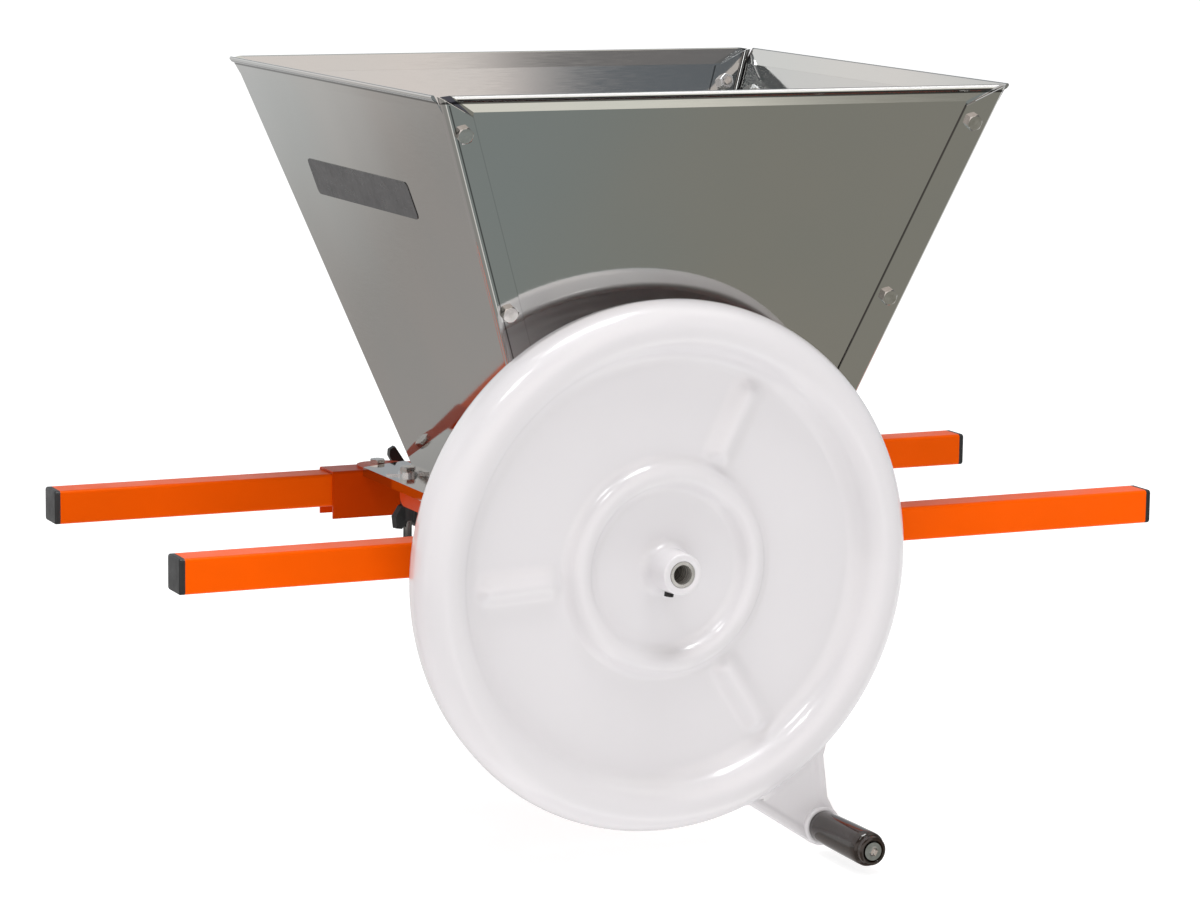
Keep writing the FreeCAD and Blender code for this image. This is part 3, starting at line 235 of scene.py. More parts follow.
PLAIN_FINISHES = {
    "zinc_plate": (((0.62, 0.63, 0.65), 0.28, 1.0),
                   ((35.0, 5.0), (0.48, 0.49, 0.50), (0.70, 0.71, 0.72)),
                   ((120.0, 4.0), 0.18, 0.36), ((400.0, 3.0), 0.00002)),
    "plate_face": (((0.03, 0.03, 0.032), 0.3, 0.0),
                   ((40.0, 4.0), (0.022, 0.022, 0.024), (0.045, 0.044, 0.046)),
                   ((200.0, 4.0), 0.26, 0.36), ((700.0, 2.0), 0.00001)),
    "bright_steel": (((0.62, 0.60, 0.57), 0.10, 1.0),
                     ((180.0, 4.0), (0.52, 0.50, 0.47), (0.70, 0.68, 0.66)),
                     ((300.0, 4.0), 0.07, 0.15), ((500.0, 2.0), 0.00002)),
    "black_steel": (((0.02, 0.02, 0.021), 0.38, 0.6),
                    ((150.0, 4.0), (0.012, 0.012, 0.013), (0.035, 0.034, 0.034)),
                    ((300.0, 4.0), 0.3, 0.5), ((900.0, 2.0), 0.00002)),
    "cast_alloy": (((0.66, 0.67, 0.68), 0.42, 1.0),
                   ((50.0, 5.0), (0.52, 0.53, 0.54), (0.72, 0.73, 0.74)),
                   ((140.0, 4.0), 0.34, 0.52), ((700.0, 4.0), 0.00012)),
    "gear_iron": (((0.12, 0.12, 0.125), 0.4, 1.0),
                  ((70.0, 5.0), (0.07, 0.07, 0.072), (0.20, 0.195, 0.19)),
                  ((90.0, 4.0), 0.24, 0.55), ((500.0, 4.0), 0.00008)),
}


def make_powder_coat(name, colour):
    finish = Finish(name, colour, 0.34)
    finish.tint(finish.grain(9.0, 3.0), scaled(colour, 0.93), scaled(colour, 1.05))
    finish.bump(finish.grain(900.0, 2.0), 0.00004)
    finish.bump(finish.grain(160.0, 2.0), 0.00006)
    finish.rough(finish.grain(25.0), 0.28, 0.40)
    finish.put("Specular Tint", (1.0, 0.40, 0.03, 1))
    finish.put("Specular IOR Level", 0.3)


def make_stainless(steel):
    """Brushed sheets with painted shade lines beside the strips and under the hems, a painted dark reflection
    line along a corner bend, and a painted highlight along the hem's crest.
    """
    finish = Finish("stainless_sheet", steel, 0.06, 1.0)
    brushed = finish.grain(55.0, 6.0, (1.0, 1.0, 24.0))
    finish.tint(finish.grain(3.0, 3.0), (0.565, 0.575, 0.565), (0.635, 0.60, 0.575))
    lean, fall = 0.9354, -0.3536
    below_lip, to_mitre = (-1.0, 0.388), (-1.0, 0.396)
    under_hem, on_hem = (0.397, 0.401), (0.398, 0.410)
    # Painted shade: dark lines beside the strips and under the hems, and a painted dark reflection line along a
    # corner bend.
    for mask in (finish.line((lean, 0.0, fall), 0.07337, 0.0010, 0.70, below_lip),
                 finish.line((-lean, 0.0, fall), 0.07917, 0.0008, 0.20, below_lip),
                 finish.line((-lean, 0.0, fall), 0.0965, 0.0008, 0.75, to_mitre),
                 finish.line((0.6478, 0.6478, -0.4010), 0.1654, 0.0040, 0.80),
                 finish.line((-0.5, 0.0, -0.866), -0.21379, 0.0008, 0.8, under_hem),
                 finish.line((0.0, -0.5, -0.866), -0.22259, 0.0012, 0.9, under_hem)):
        finish.seam(mask)
    # Painted highlight: a pale, non-metal band along the hem's crest.
    painted_crest_highlight = finish.line((0.0, -1.0, 0.0), 0.24858, 0.00045, 1.0, on_hem)
    finish.seam(painted_crest_highlight, (0.80, 0.80, 0.80))
    finish.links.new(finish.spread(painted_crest_highlight, 1.0, 0.0, 0.0, 1.0), finish.shader.inputs["Metallic"])
    finish.rough(brushed, 0.045, 0.085)
    finish.bump(finish.grain(4.0, 1.0), 0.0006)
    finish.bump(brushed, 0.0000015)


def make_enamel(enamel):
    finish = Finish("white_enamel", enamel, 0.3)
    finish.tint(finish.grain(7.0, 3.0), scaled(enamel, 0.985), scaled(enamel, 1.01))
    finish.bump(finish.grain(28.0, 2.0), 0.00025)
    finish.bump(finish.grain(220.0, 2.0), 0.00003)
    finish.coat(0.7, 0.04)


def make_black_plastic(black):
    make_plain("black_plastic", (black, 0.42), ((60.0, 4.0), scaled(black, 0.8), scaled(black, 1.5)),
               ((90.0, 4.0), 0.34, 0.50), ((1200.0, 2.0), 0.00004))


def make_grip_gloss(grip):
    finish = Finish("grip_gloss", grip, 0.16)
    finish.tint(finish.grain(14.0, 4.0, (1.0, 0.3, 1.0)), scaled(grip, 0.5), scaled(grip, 1.6))
    finish.bump(finish.grain(70.0, 2.0), 0.00003)
    finish.coat(0.4, 0.03)


def make_turned_steel():
    finish = Finish("turned_steel", (0.58, 0.56, 0.53), 0.25, 0.55)
    turned = finish.grain(260.0, 4.0, (0.15, 6.0, 0.15))
    finish.tint(turned, (0.52, 0.50, 0.47), (0.76, 0.74, 0.70))
    finish.rough(turned, 0.18, 0.34)
    finish.bump(turned, 0.00002)


def make_bolt_steel():
    """Bright bolt heads; below the rails' tops the shanks get painted shade."""
    finish = make_plain("bolt_steel", ((0.60, 0.58, 0.55), 0.12, 1.0),
                        ((180.0, 4.0), (0.50, 0.48, 0.45), (0.68, 0.66, 0.64)),
                        ((300.0, 4.0), 0.08, 0.18), ((500.0, 2.0), 0.00002))
    # Painted shade: the shanks darken below the rails' tops.
    finish.seam(finish.line((0.0, 0.0, 1.0), -0.06, 0.085, 0.9))


def make_nylon():
    finish = make_plain("nylon", ((0.80, 0.79, 0.74), 0.45),
                        ((60.0, 4.0), (0.76, 0.75, 0.69), (0.83, 0.82, 0.78)),
                        ((150.0, 4.0), 0.38, 0.52), ((600.0, 2.0), 0.00003))
    finish.put("Subsurface Weight", 0.15)


CORNERS = ("front_left", "front_right", "rear_left", "rear_right")

NODE_FINISHES = {
    "rail_shaded_coat": ["front_rail", "rear_rail", "left_cross_member", "right_cross_member"],
    "powder_coat": ["gear_guard", "gear_guard_back", "front_left_bar", "front_right_bar"],
    # The rear bars take a darker copy of the bar orange as painted shade.
    "far_shaded_coat": ["rear_left_bar", "rear_right_bar"],
    "stainless_sheet": ["hopper_left_panel", "hopper_right_panel", "hopper_front_panel", "hopper_rear_panel",
                        "left_guide_plate", "right_guide_plate"],
    "zinc_plate": ["flange_eared_washers", "flange_washers", "clamp_nuts", "hopper_nuts", "guard_screws"],
    "bright_steel": ["hopper_bolts", "grip_bolt"],
    "bolt_steel": ["cross_member_bolts", "flange_bolts"],
    "black_plastic": [corner + part for part in ("_cap", "_clamp_screw", "_wing_nut") for corner in CORNERS],
    "plate_face": ["label_plate"],
    "turned_steel": ["drive_shaft", "driven_shaft", "drive_gear_pin", "driven_gear_pin"],
    "black_steel": ["wheel_set_screw", "drive_shaft_ring", "driven_shaft_ring"],
    "cast_alloy": ["drive_roller", "driven_roller", "drive_roller_ends", "driven_roller_ends"],
    "nylon": ["front_drive_bush", "rear_drive_bush", "front_driven_bush", "rear_driven_bush"],
    "gear_iron": ["drive_gear", "driven_gear"],
    "white_enamel": ["flywheel"],
    "grip_gloss": ["crank_grip"],
}


# Shared mesh tools

def piece_from(name, shape, finish, body, replaced=(), smooth=40.0):
    """Turns a bmesh into a piece that rides on a body."""
    bmesh.ops.remove_doubles(shape, verts=shape.verts, dist=0.000005)
    bmesh.ops.recalc_face_normals(shape, faces=shape.faces)
    mesh = bpy.data.meshes.new(name)
    shape.to_mesh(mesh)
    shape.free()
    mesh.shade_smooth()
    mesh.set_sharp_from_angle(angle=math.radians(smooth))
    mesh.materials.append(FINISHES[finish])
    piece = bpy.data.objects.new(name, mesh)
    bpy.context.scene.collection.objects.link(piece)
    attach(piece, body)
    if replaced:
        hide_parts(*replaced)
    return piece


def arc_points(centre, radius, start, end, steps):
    """Points of an arc in (radius, front) from angle start to end."""
    return [(centre[0] + radius * math.cos(start + (end - start) * k / steps),
             centre[1] + radius * math.sin(start + (end - start) * k / steps)) for k in range(steps + 1)]


def line_points(start, end, steps):
    """Points of a straight line from start to end."""
    return [(start[0] + (end[0] - start[0]) * k / steps, start[1] + (end[1] - start[1]) * k / steps)
            for k in range(steps + 1)]


def spun(profile, axis, steps, closed=False):
    """Mesh turned round an axis that runs along Y; the profile holds (radius, front) pairs."""
    shape = bmesh.new()
    verts = [shape.verts.new((axis.x + r, -front, axis.z)) for r, front in profile]
    edges = [shape.edges.new(pair) for pair in zip(verts, verts[1:])]
    if closed:
        edges.append(shape.edges.new((verts[-1], verts[0])))
    bmesh.ops.spin(shape, geom=verts + edges, cent=(axis.x, 0, axis.z), axis=(0, 1, 0),
                   angle=math.tau, steps=steps, use_merge=True)
    bmesh.ops.remove_doubles(shape, verts=shape.verts, dist=0.000002)
    return shape


def soft_step(value):
    value = min(1.0, max(0.0, value))
    return value * value * (3 - 2 * value)


# Stage

CAMERA_PLACE = (-1.4902, -3.19875, 0.64676)
CAMERA_YAW, CAMERA_PITCH, CAMERA_ROLL = (math.radians(a) for a in (24.94, 9.44, 0.76))
CAMERA_LENS = 119.979
FLOOR_GAP = 0.004
LIGHT_AIM = Vector((0, 0, 0.1))

# Studio walls for the steel to mirror: (measure from -1 to 1, colour) stops along one direction each
HIGH_LEFT = ((-0.2, (0.62, 0.60, 0.60)), (0.05, (1.0, 0.93, 0.90)), (0.64, (1.0, 0.92, 0.88)),
             (0.72, (0.60, 0.58, 0.58)), (0.80, (1.0, 1.0, 1.0)))
HIGH_SIDE = ((0.38, (1.0, 0.93, 0.90)), (0.48, (0.15, 0.16, 0.17)))
LOW_LEFT = ((-1.0, (0.10, 0.10, 0.10)), (-0.985, (0.14, 0.14, 0.13)), (-0.94, (0.36, 0.35, 0.34)),
            (-0.45, (0.34, 0.34, 0.32)), (-0.34, (0.95, 0.94, 0.92)), (-0.16, (0.95, 0.94, 0.92)),
            (-0.08, (0.32, 0.31, 0.29)))
RIGHT = ((-0.86, (0.12, 0.11, 0.13)), (-0.80, (0.97, 0.99, 0.96)), (-0.705, (1.0, 1.0, 0.98)),
         (-0.693, (0.50, 0.51, 0.49)), (-0.681, (0.30, 0.305, 0.29)), (-0.3, (0.29, 0.295, 0.28)),
         (0.2, (0.25, 0.25, 0.27)), (0.36, (0.17, 0.175, 0.19)), (0.62, (0.22, 0.22, 0.24)),
         (0.72, (1.0, 1.0, 1.0)))
BACK = ((-0.29, (0.38, 0.40, 0.42)), (-0.235, (0.93, 0.93, 0.92)), (0.0, (0.86, 0.86, 0.86)),
        (0.336, (0.66, 0.66, 0.66)), (0.358, (0.55, 0.55, 0.54)), (0.384, (0.36, 0.345, 0.33)),
        (0.45, (0.42, 0.40, 0.39)))
COOL, WARM, SHADE = (0.93, 1.02, 1.05), (0.97, 0.95, 0.88), (0.16, 0.17, 0.18)
SIDEWAYS = (0.9003, 0.4352, 0.0)
DOWN_THE_BACK = (-0.426, 0.0, -0.905)
OVER_THE_TINT = (0.866, 0.5, 0.0)
OVER_THE_MIDDLE = (0.9134, 0.3535, -0.2015)
TO_THE_SHADE = (0.132, -0.323, 0.937)
WORLD_STRENGTH = 1.08


class StudioWalls:
    """Node helpers for a world whose brightness depends on direction."""

    def __init__(self, world):
        self.nodes, self.links = world.node_tree.nodes, world.node_tree.links
        self.direction = self.nodes.new("ShaderNodeTexCoord").outputs["Generated"]
        split = self.nodes.new("ShaderNodeSeparateXYZ")
        self.links.new(self.direction, split.inputs["Vector"])
        self.away, self.up = split.outputs["Y"], split.outputs["Z"]

    def toward(self, direction):
        """How far a ray goes in one direction."""
        reach = self.nodes.new("ShaderNodeVectorMath")
        reach.operation = "DOT_PRODUCT"
        reach.inputs[1].default_value = direction
        self.links.new(self.direction, reach.inputs[0])
        return reach.outputs["Value"]

    def stepped(self, source, low, high):
        """Soft step from 0 at low to 1 at high."""
        step = self.nodes.new("ShaderNodeMapRange")
        step.interpolation_type = "SMOOTHSTEP"
        step.inputs["From Min"].default_value = low
        step.inputs["From Max"].default_value = high
        self.links.new(source, step.inputs["Value"])
        return step.outputs["Result"]

    def wall(self, source, stops):
        """Brightness along one measure that runs from -1 to 1."""
        ramp = self.nodes.new("ShaderNodeValToRGB")
        elements = ramp.color_ramp.elements
        while len(elements) < len(stops):
            elements.new(0.5)
        for element, (measure, tone) in zip(elements, stops):
            element.position = (measure + 1) / 2
            element.color = (*tone, 1)
        lift = self.nodes.new("ShaderNodeMapRange")
        lift.inputs["From Min"].default_value = -1.0
        lift.inputs["From Max"].default_value = 1.0
        self.links.new(source, lift.inputs["Value"])
        self.links.new(lift.outputs["Result"], ramp.inputs["Fac"])
        return ramp.outputs["Color"]

    def plain(self, tone):
        """One even colour."""
        node = self.nodes.new("ShaderNodeRGB")
        node.outputs["Color"].default_value = (*tone, 1)
        return node.outputs["Color"]

    def mixed(self, factor, first, second, blend="MIX"):
        """Mix of two colours; without a factor the second counts in full."""
        mix = self.nodes.new("ShaderNodeMix")
        mix.data_type = "RGBA"
        mix.blend_type = blend
        mix.inputs["Factor"].default_value = 1.0
        if factor is not None:
            self.links.new(factor, mix.inputs["Factor"])
        self.links.new(first, mix.inputs["A"])
        self.links.new(second, mix.inputs["B"])
        return mix.outputs["Result"]


class CRUSHER_OT_stage(bpy.types.Operator):
    """Camera, floor and soft studio light"""
    bl_idname = "crusher.stage"
    bl_label = "Studio stage"

    def execute(self, context):
        self.add_camera(context)
        self.add_floor(context)
        self.add_world(context)
        self.add_softbox(context, "key", (-1.5, -1.9, 2.6), 0.6, 12)
        self.add_softbox(context, "fill", (2.4, -2.2, 1.6), 0.8, 9).visible_glossy = False
        self.add_softbox(context, "top", (-0.12, -0.42, 2.8), 1.2, 59)
        context.scene.view_settings.view_transform = "Standard"
        return {"FINISHED"}

    def add_camera(self, context):
        data = bpy.data.cameras.new("camera")
        data.sensor_width = 36.0
        data.lens = CAMERA_LENS
        data.clip_end = 60.0
        camera = bpy.data.objects.new("camera", data)
        context.scene.collection.objects.link(camera)
        ahead = Vector((math.sin(CAMERA_YAW) * math.cos(CAMERA_PITCH),
                        math.cos(CAMERA_YAW) * math.cos(CAMERA_PITCH), -math.sin(CAMERA_PITCH)))
        level = Vector((math.cos(CAMERA_YAW), -math.sin(CAMERA_YAW), 0))
        upright = level.cross(ahead)
        right = level * math.cos(CAMERA_ROLL) + upright * math.sin(CAMERA_ROLL)
        up = upright * math.cos(CAMERA_ROLL) - level * math.sin(CAMERA_ROLL)
        turn = Matrix((right, up, -ahead)).transposed()
        camera.matrix_world = Matrix.Translation(CAMERA_PLACE) @ turn.to_4x4()
        context.scene.camera = camera

    def add_floor(self, context):
        shape = bmesh.new()
        bmesh.ops.create_grid(shape, x_segments=8, y_segments=8, size=30.0)
        bmesh.ops.translate(shape, verts=shape.verts, vec=(0, 12.0, CAD_BOX[0].z - FLOOR_GAP))
        mesh = bpy.data.meshes.new("floor")
        shape.to_mesh(mesh)
        shape.free()
        floor = bpy.data.objects.new("floor", mesh)
        context.scene.collection.objects.link(floor)
        finish = Finish("floor_paper", (0.5, 0.5, 0.5), 0.9)
        finish.put("Emission Color", (1, 1, 1, 1))
        finish.put("Emission Strength", 0.80)
        finish.put("Specular IOR Level", 0.0)
        mesh.materials.append(finish.material)
        floor.visible_glossy = False

    def add_world(self, context):
        """A bright left half in front, a dark right half, a pale back and one dark patch overhead."""
        world = bpy.data.worlds.new("studio")
        context.scene.world = world
        world.use_nodes = True
        walls = StudioWalls(world)
        side = walls.toward(SIDEWAYS)
        high_left = walls.mixed(walls.stepped(side, -0.38, -0.25), walls.wall(walls.up, HIGH_SIDE),
                                walls.wall(walls.up, HIGH_LEFT))
        left = walls.mixed(walls.stepped(walls.up, -0.25, -0.15), walls.wall(side, LOW_LEFT), high_left)
        tint = walls.mixed(walls.stepped(walls.toward(OVER_THE_TINT), -0.045, 0.025), walls.plain(COOL),
                           walls.plain(WARM))
        right = walls.mixed(None, walls.wall(walls.up, RIGHT), tint, "MULTIPLY")
        front = walls.mixed(walls.stepped(walls.toward(OVER_THE_MIDDLE), -0.012, 0.012), left, right)
        back = walls.wall(walls.toward(DOWN_THE_BACK), BACK)
        whole = walls.mixed(walls.stepped(walls.away, -0.12, 0.12), front, back)
        overhead = walls.stepped(walls.toward(TO_THE_SHADE), 0.975, 0.985)
        whole = walls.mixed(overhead, whole, walls.plain(SHADE))
        background = walls.nodes["Background"]
        walls.links.new(whole, background.inputs["Color"])
        background.inputs["Strength"].default_value = WORLD_STRENGTH

    def add_softbox(self, context, name, place, size, watts):
        """Square lamp of this size, turned to the machine."""
        data = bpy.data.lights.new(name, "AREA")
        data.shape = "SQUARE"
        data.size = size
        data.energy = watts
        light = bpy.data.objects.new(name, data)
        light.location = place
        light.rotation_mode = "QUATERNION"
        light.rotation_quaternion = (LIGHT_AIM - Vector(place)).to_track_quat("-Z", "Y")
        context.scene.collection.objects.link(light)
        return light


class CRUSHER_OT_finishes(bpy.types.Operator):
    """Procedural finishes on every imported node"""
    bl_idname = "crusher.finishes"
    bl_label = "Finishes"

    def execute(self, context):
        colours = context.scene.crusher_colours
        make_powder_coat("powder_coat", colours.orange)
        # Painted shade: the rear bars get a darker copy of the bar orange.
        make_powder_coat("far_shaded_coat", scaled(colours.orange, 0.85))
        # Painted shade: the rails and cross members get the darkened copy of the bar orange.
        make_powder_coat("rail_shaded_coat", colours.rail)
        make_stainless(colours.steel)
        make_enamel(colours.enamel)
        make_black_plastic(colours.black)
        make_grip_gloss(colours.grip)
        make_turned_steel()
        make_bolt_steel()
        make_nylon()
        for name, rows in PLAIN_FINISHES.items():
            make_plain(name, *rows)
        for finish, names in NODE_FINISHES.items():
            for name in names:
                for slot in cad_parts[name].material_slots:
                    slot.material = FINISHES[finish]
        return {"FINISHED"}


# Flywheel

WHEEL_BORE = 0.0112
SLEEVE_RADIUS, SLEEVE_LENGTH = 0.0175, 0.0317
MOUTH_CHAMFER, MOUTH_ROUND = 0.0004, 0.0014
SLEEVE_SPREAD, SLEEVE_SPREAD_HEIGHT = 0.0008, 0.018
SLEEVE_FILLET, SLEEVE_FOOT = 0.0085, 0.0095
DISC_START = 0.0280
RING_HALF_WIDTH, RING_CREST, RING_MARGIN = 0.0185, 0.0115, 0.003
RIM_SET_BACK, RIM_FILLET = 0.0055, 0.020
RIM_SKIRT, RIM_DRAFT = 0.014, 0.0022
RIB_ANGLES = (63.0, 183.0, 303.0)
RIB_ZONE = (0.092, 0.180)
RIB_START, RIB_START_RUN, RIB_END, RIB_END_RUN = 0.094, 0.014, 0.178, 0.016
RIB_SLOPE, RIB_REACH = 0.62, 0.012
BOSS_FOOT, BOSS_ROUND, BOSS_RADIUS, BOSS_FLARE, BOSS_LAP = 0.2109, 0.0015, 0.020, 0.0045, 0.0010


class CRUSHER_OT_flywheel(bpy.types.Operator):
    """Cast flywheel with soft ribs, hub sleeve and back boss"""
    bl_idname = "crusher.flywheel"
    bl_label = "Flywheel"

    def execute(self, context):
        sizes = context.scene.crusher_sizes
        disc = sizes.disc_front
        skin = self.sleeve(disc) + self.ring(disc, sizes.ring_radius, sizes.ring_height) + self.rim(disc, sizes)
        dish = spun(skin, AXIS, sizes.wheel_steps)
        self.raise_ribs(dish, sizes)
        piece = piece_from("wheel_dish", dish, "white_enamel", "drive", ("flywheel",), 60.0)
        wall = piece.modifiers.new("wall", "SOLIDIFY")
        wall.thickness = sizes.wall
        wall.offset = -1.0
        wall.use_even_offset = True
        boss = spun(self.boss(disc - sizes.wall), AXIS, 96, True)
        piece_from("wheel_boss", boss, "white_enamel", "drive", (), 50.0)
        return {"FINISHED"}

    def sleeve(self, disc):
        """Skin from the sleeve's mouth down to the disc."""
        mouth = disc + SLEEVE_LENGTH
        points = [(WHEEL_BORE, mouth - MOUTH_CHAMFER), (WHEEL_BORE + MOUTH_CHAMFER, mouth)]
        points += arc_points((SLEEVE_RADIUS - MOUTH_ROUND, mouth - MOUTH_ROUND), MOUTH_ROUND, math.pi / 2, 0, 5)
        points += [(SLEEVE_RADIUS + SLEEVE_SPREAD, disc + SLEEVE_SPREAD_HEIGHT)]
        points += arc_points((SLEEVE_RADIUS + SLEEVE_FOOT, disc + SLEEVE_FILLET), SLEEVE_FILLET,
                             math.pi, 1.5 * math.pi, 10)
        return points

    def ring(self, disc, ring, height):
        """Skin over the round ring, with the flat before it."""
        half = RING_HALF_WIDTH
        fillet = (half ** 2 + height ** 2) / (2 * height) - RING_CREST
        lean = math.atan2(fillet + RING_CREST - height, half)
        points = line_points((DISC_START, disc), (ring - half - RING_MARGIN, disc), 9)
        points += arc_points((ring - half, disc + fillet), fillet, -math.pi / 2, -lean, 9)
        points += arc_points((ring, disc + height - RING_CREST), RING_CREST, math.pi - lean, lean, 18)[1:]
        points += arc_points((ring + half, disc + fillet), fillet, math.pi + lean, 1.5 * math.pi, 9)[1:]
        return points

    def rim(self, disc, sizes):
        """Skin from the ring over the rim's round section to the end of its skirt."""
        plane = disc - RIM_SET_BACK
        rise = RIM_SET_BACK + RIM_FILLET
        run = math.sqrt((sizes.rim_bulge + RIM_FILLET) ** 2 - rise ** 2)
        centre = (sizes.rim_radius - run, disc + RIM_FILLET)
        tilt = math.atan2(rise, run)
        outer = sizes.rim_radius + sizes.rim_bulge
        points = line_points((sizes.ring_radius + RING_HALF_WIDTH, disc), (centre[0], disc), 22)[1:]
        points += arc_points(centre, RIM_FILLET, -math.pi / 2, -tilt, 12)[1:]
        points += arc_points((sizes.rim_radius, plane), sizes.rim_bulge, math.pi - tilt, 0, 30)[1:]
        points += line_points((outer, plane), (outer - RIM_DRAFT, plane - RIM_SKIRT), 4)[1:]
        return points

    def boss(self, back):
        """Closed section of the boss behind the disc."""
        flared = BOSS_RADIUS + BOSS_FLARE
        points = [(WHEEL_BORE, BOSS_FOOT)]
        points += arc_points((BOSS_RADIUS - BOSS_ROUND, BOSS_FOOT + BOSS_ROUND), BOSS_ROUND, -math.pi / 2, 0, 5)
        points += arc_points((flared, back - BOSS_FLARE), BOSS_FLARE, math.pi, math.pi / 2, 8)
        return points + [(flared, back + BOSS_LAP), (WHEEL_BORE, back + BOSS_LAP)]

    def raise_ribs(self, dish, sizes):
        """Lifts the disc's skin into three soft ribs between the ring and the rim."""
        for vert in dish.verts:
            away = Vector((vert.co.x - AXIS.x, 0, vert.co.z - AXIS.z))
            if not RIB_ZONE[0] < away.length < RIB_ZONE[1] or -vert.co.y > sizes.disc_front + RIB_REACH:
                continue
            for angle in RIB_ANGLES:
                a = math.radians(angle)
                along = away.x * math.cos(a) + away.z * math.sin(a)
                across = -away.x * math.sin(a) + away.z * math.cos(a)
                if along <= 0 or abs(across) > sizes.rib_width:
                    continue
                side = 1 - soft_step(abs(across) / (sizes.rib_width * RIB_SLOPE))
                start = soft_step((along - RIB_START) / RIB_START_RUN)
                end = soft_step((RIB_END - along) / RIB_END_RUN)
                vert.co.y -= sizes.rib_height * side * (start * end)


# Lug

LUG_FRONT, LUG_BACK = 0.2378, 0.2258
LUG_RADIUS, BOLT_HOLE = 0.0175, 0.0042
LUG_ROOT, LUG_SHOULDER = 0.2228, 0.2272
LUG_ROOT_ANGLES = (-44.5, -49, -53, -57, -61, -65, -71.7)
LUG_LEFT_ANGLE, LUG_RIGHT_ANGLE, LUG_LEAN = -68.7, -47.5, -57.0
LUG_HEEL_BACK, LUG_HEEL_SIDE = 0.0187, 0.0179
LUG_BORDER, LUG_SLOPE, LUG_SUNK, LUG_EDGE = 0.006, 0.004, 0.0022, 0.0018


class CRUSHER_OT_wheel_lug(bpy.types.Operator):
    """Lug on the wheel's rim that carries the grip"""
    bl_idname = "crusher.wheel_lug"
    bl_label = "Crank lug"

    def execute(self, context):
        front, back = LUG_FRONT, LUG_BACK
        shape = bmesh.new()
        face = shape.faces.new([shape.verts.new((x, -front, z)) for x, z in self.outline()])
        face.normal_update()
        if face.normal.y > 0:
            face.normal_flip()
        result = bmesh.ops.extrude_face_region(shape, geom=[face])
        moved = [v for v in result["geom"] if isinstance(v, bmesh.types.BMVert)]
        bmesh.ops.translate(shape, verts=moved, vec=(0, front - back, 0))
        bmesh.ops.recalc_face_normals(shape, faces=shape.faces)
        cap = [f for f in shape.faces if f.normal.y < -0.9]
        bmesh.ops.inset_region(shape, faces=cap, thickness=LUG_BORDER, depth=0.0)
        cap = [f for f in shape.faces if f.normal.y < -0.9 and len(f.verts) > 8]
        bmesh.ops.inset_region(shape, faces=cap, thickness=LUG_SLOPE, depth=-LUG_SUNK)
        rims = [e for e in shape.edges if e.calc_face_angle(0) > math.radians(20)]
        bmesh.ops.bevel(shape, geom=rims, offset=LUG_EDGE, affect="EDGES", segments=4, profile=0.5, material=-1)
        piece_from("wheel_lug", shape, "white_enamel", "drive", (), 60.0)
        boss = [(BOLT_HOLE, front - 0.010), (BOLT_HOLE, front)]
        boss += arc_points((0.0145, front - 0.0012), 0.0028, math.pi / 2, 0, 6)
        boss += [(LUG_RADIUS, front - 0.006), (LUG_RADIUS, back + 0.001), (LUG_RADIUS - 0.001, back),
                 (BOLT_HOLE, back)]
        boss = spun(boss, GRIP_AXIS, 64, True)
        piece_from("lug_boss", boss, "white_enamel", "drive", (), 50.0)
        return {"FINISHED"}

    def outline(self):
        """Points (x, z) round the lug, from the rim's left foot over the boss to its right foot."""
        def polar(radius, angle):
            a = math.radians(angle)
            return (AXIS.x + radius * math.cos(a), AXIS.z + radius * math.sin(a))

        points = [polar(LUG_ROOT, angle) for angle in LUG_ROOT_ANGLES]
        points += [polar(LUG_SHOULDER, LUG_LEFT_ANGLE)]
        tangent = math.radians(LUG_LEFT_ANGLE - 55)
        for turn in range(0, 190, 20):
            a = tangent + math.radians(turn) - 0.1
            points.append((GRIP_AXIS.x + LUG_RADIUS * math.cos(a), GRIP_AXIS.z + LUG_RADIUS * math.sin(a)))
        lean = math.radians(LUG_LEAN)
        out = (math.cos(lean), math.sin(lean))
        points.append((GRIP_AXIS.x - out[0] * LUG_HEEL_BACK - out[1] * LUG_HEEL_SIDE,
                       GRIP_AXIS.z - out[1] * LUG_HEEL_BACK + out[0] * LUG_HEEL_SIDE))
        points.append(polar(LUG_SHOULDER, LUG_RIGHT_ANGLE))
        return points


# Grip

GRIP_BORE, GRIP_NECK, GRIP_WAIST, GRIP_BELLY, GRIP_SHOULDER = 0.0041, 0.0118, 0.0143, 0.0147, 0.0149
POCKET_RADIUS, POCKET_DEPTH, POCKET_CHAMFER = 0.0088, 0.0083, 0.0004


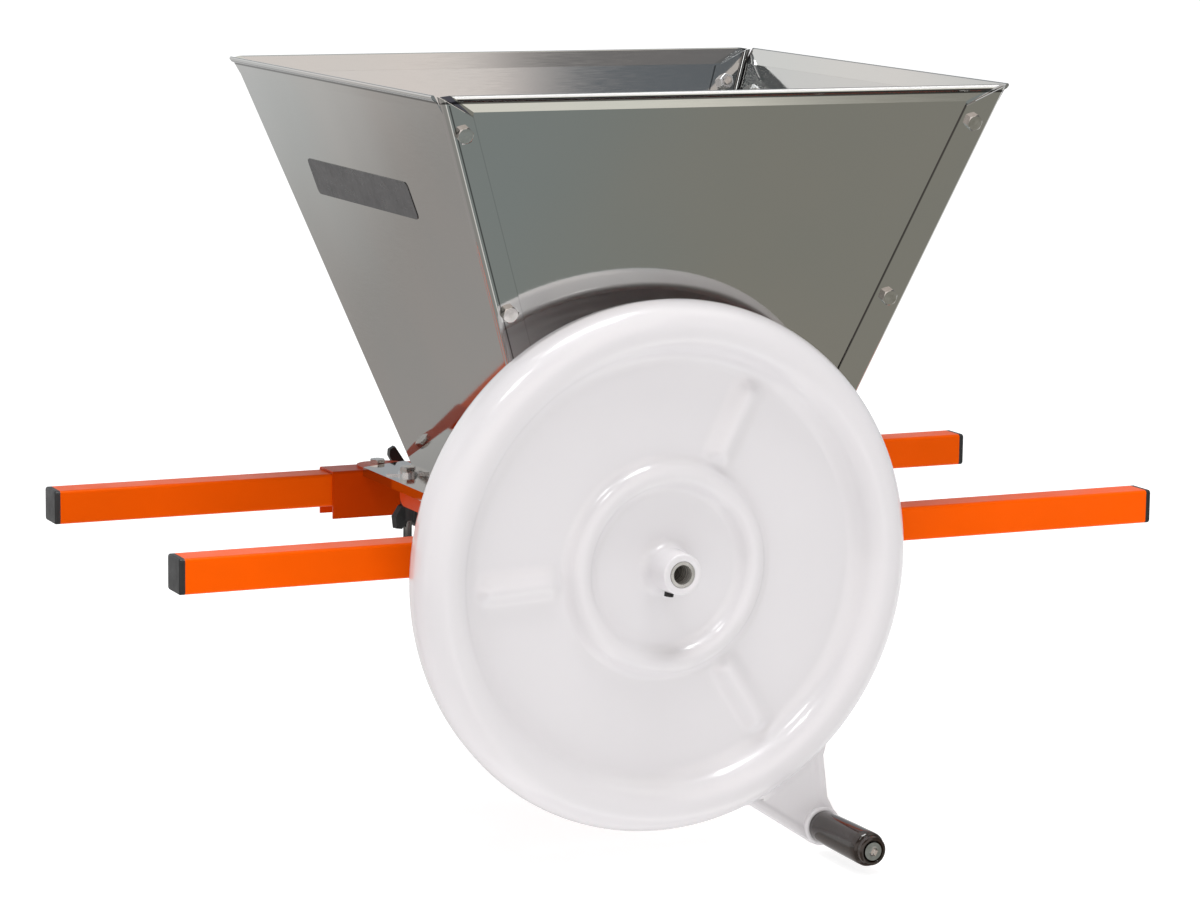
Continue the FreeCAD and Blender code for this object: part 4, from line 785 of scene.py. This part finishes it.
class CRUSHER_OT_grip(bpy.types.Operator):
    """Glossy turned grip"""
    bl_idname = "crusher.grip"
    bl_label = "Grip"

    def execute(self, context):
        back, front = -GRIP_HIGH.y, -GRIP_LOW.y
        long = front - back
        points = [(GRIP_BORE, back), (GRIP_NECK, back)]
        points += arc_points((GRIP_NECK, back + 0.0022), 0.0022, -math.pi / 2, 0, 6)[1:]
        points += [(GRIP_WAIST, back + long * 0.25), (GRIP_BELLY, back + long * 0.55),
                   (GRIP_SHOULDER, front - 0.016)]
        points += arc_points((0.0104, front - 0.0098), 0.0046, math.radians(20), math.radians(62), 5)
        points += arc_points((0.0094, front - 0.0042), 0.0042, math.radians(45), math.pi / 2, 6)
        points += [(POCKET_RADIUS + POCKET_CHAMFER, front - 0.0003), (POCKET_RADIUS, front - 0.0012),
                   (POCKET_RADIUS, front - POCKET_DEPTH), (GRIP_BORE, front - POCKET_DEPTH)]
        grip = spun(points, GRIP_AXIS, 96, True)
        piece_from("grip_body", grip, "grip_gloss", "grip", ("crank_grip",), 35.0)
        return {"FINISHED"}


# Panel and start

class CRUSHER_PT_panel(bpy.types.Panel):
    """Sizes, colours and pieces of the crusher"""
    bl_label = "Grape Crusher"
    bl_idname = "CRUSHER_PT_panel"
    bl_space_type = "VIEW_3D"
    bl_region_type = "UI"
    bl_category = "Crusher"

    def draw(self, context):
        for group in (context.scene.crusher_sizes, context.scene.crusher_colours):
            for name in group.bl_rna.properties.keys():
                if name not in ("rna_type", "name"):
                    self.layout.prop(group, name)
        for operator in OPERATORS:
            self.layout.operator(operator.bl_idname)


OPERATORS = (CRUSHER_OT_stage, CRUSHER_OT_finishes, CRUSHER_OT_flywheel, CRUSHER_OT_wheel_lug, CRUSHER_OT_grip)
CLASSES = (CrusherSizes, CrusherColours, *OPERATORS, CRUSHER_PT_panel)


def register():
    for cls in CLASSES:
        bpy.utils.register_class(cls)
    bpy.types.Scene.crusher_sizes = PointerProperty(type=CrusherSizes)
    bpy.types.Scene.crusher_colours = PointerProperty(type=CrusherColours)


def unregister():
    del bpy.types.Scene.crusher_sizes
    del bpy.types.Scene.crusher_colours
    for cls in reversed(CLASSES):
        bpy.utils.unregister_class(cls)


def main():
    register()
    bpy.ops.crusher.stage()
    bpy.ops.crusher.finishes()
    bpy.ops.crusher.flywheel()
    bpy.ops.crusher.wheel_lug()
    bpy.ops.crusher.grip()


if __name__ == "__main__":
    main()
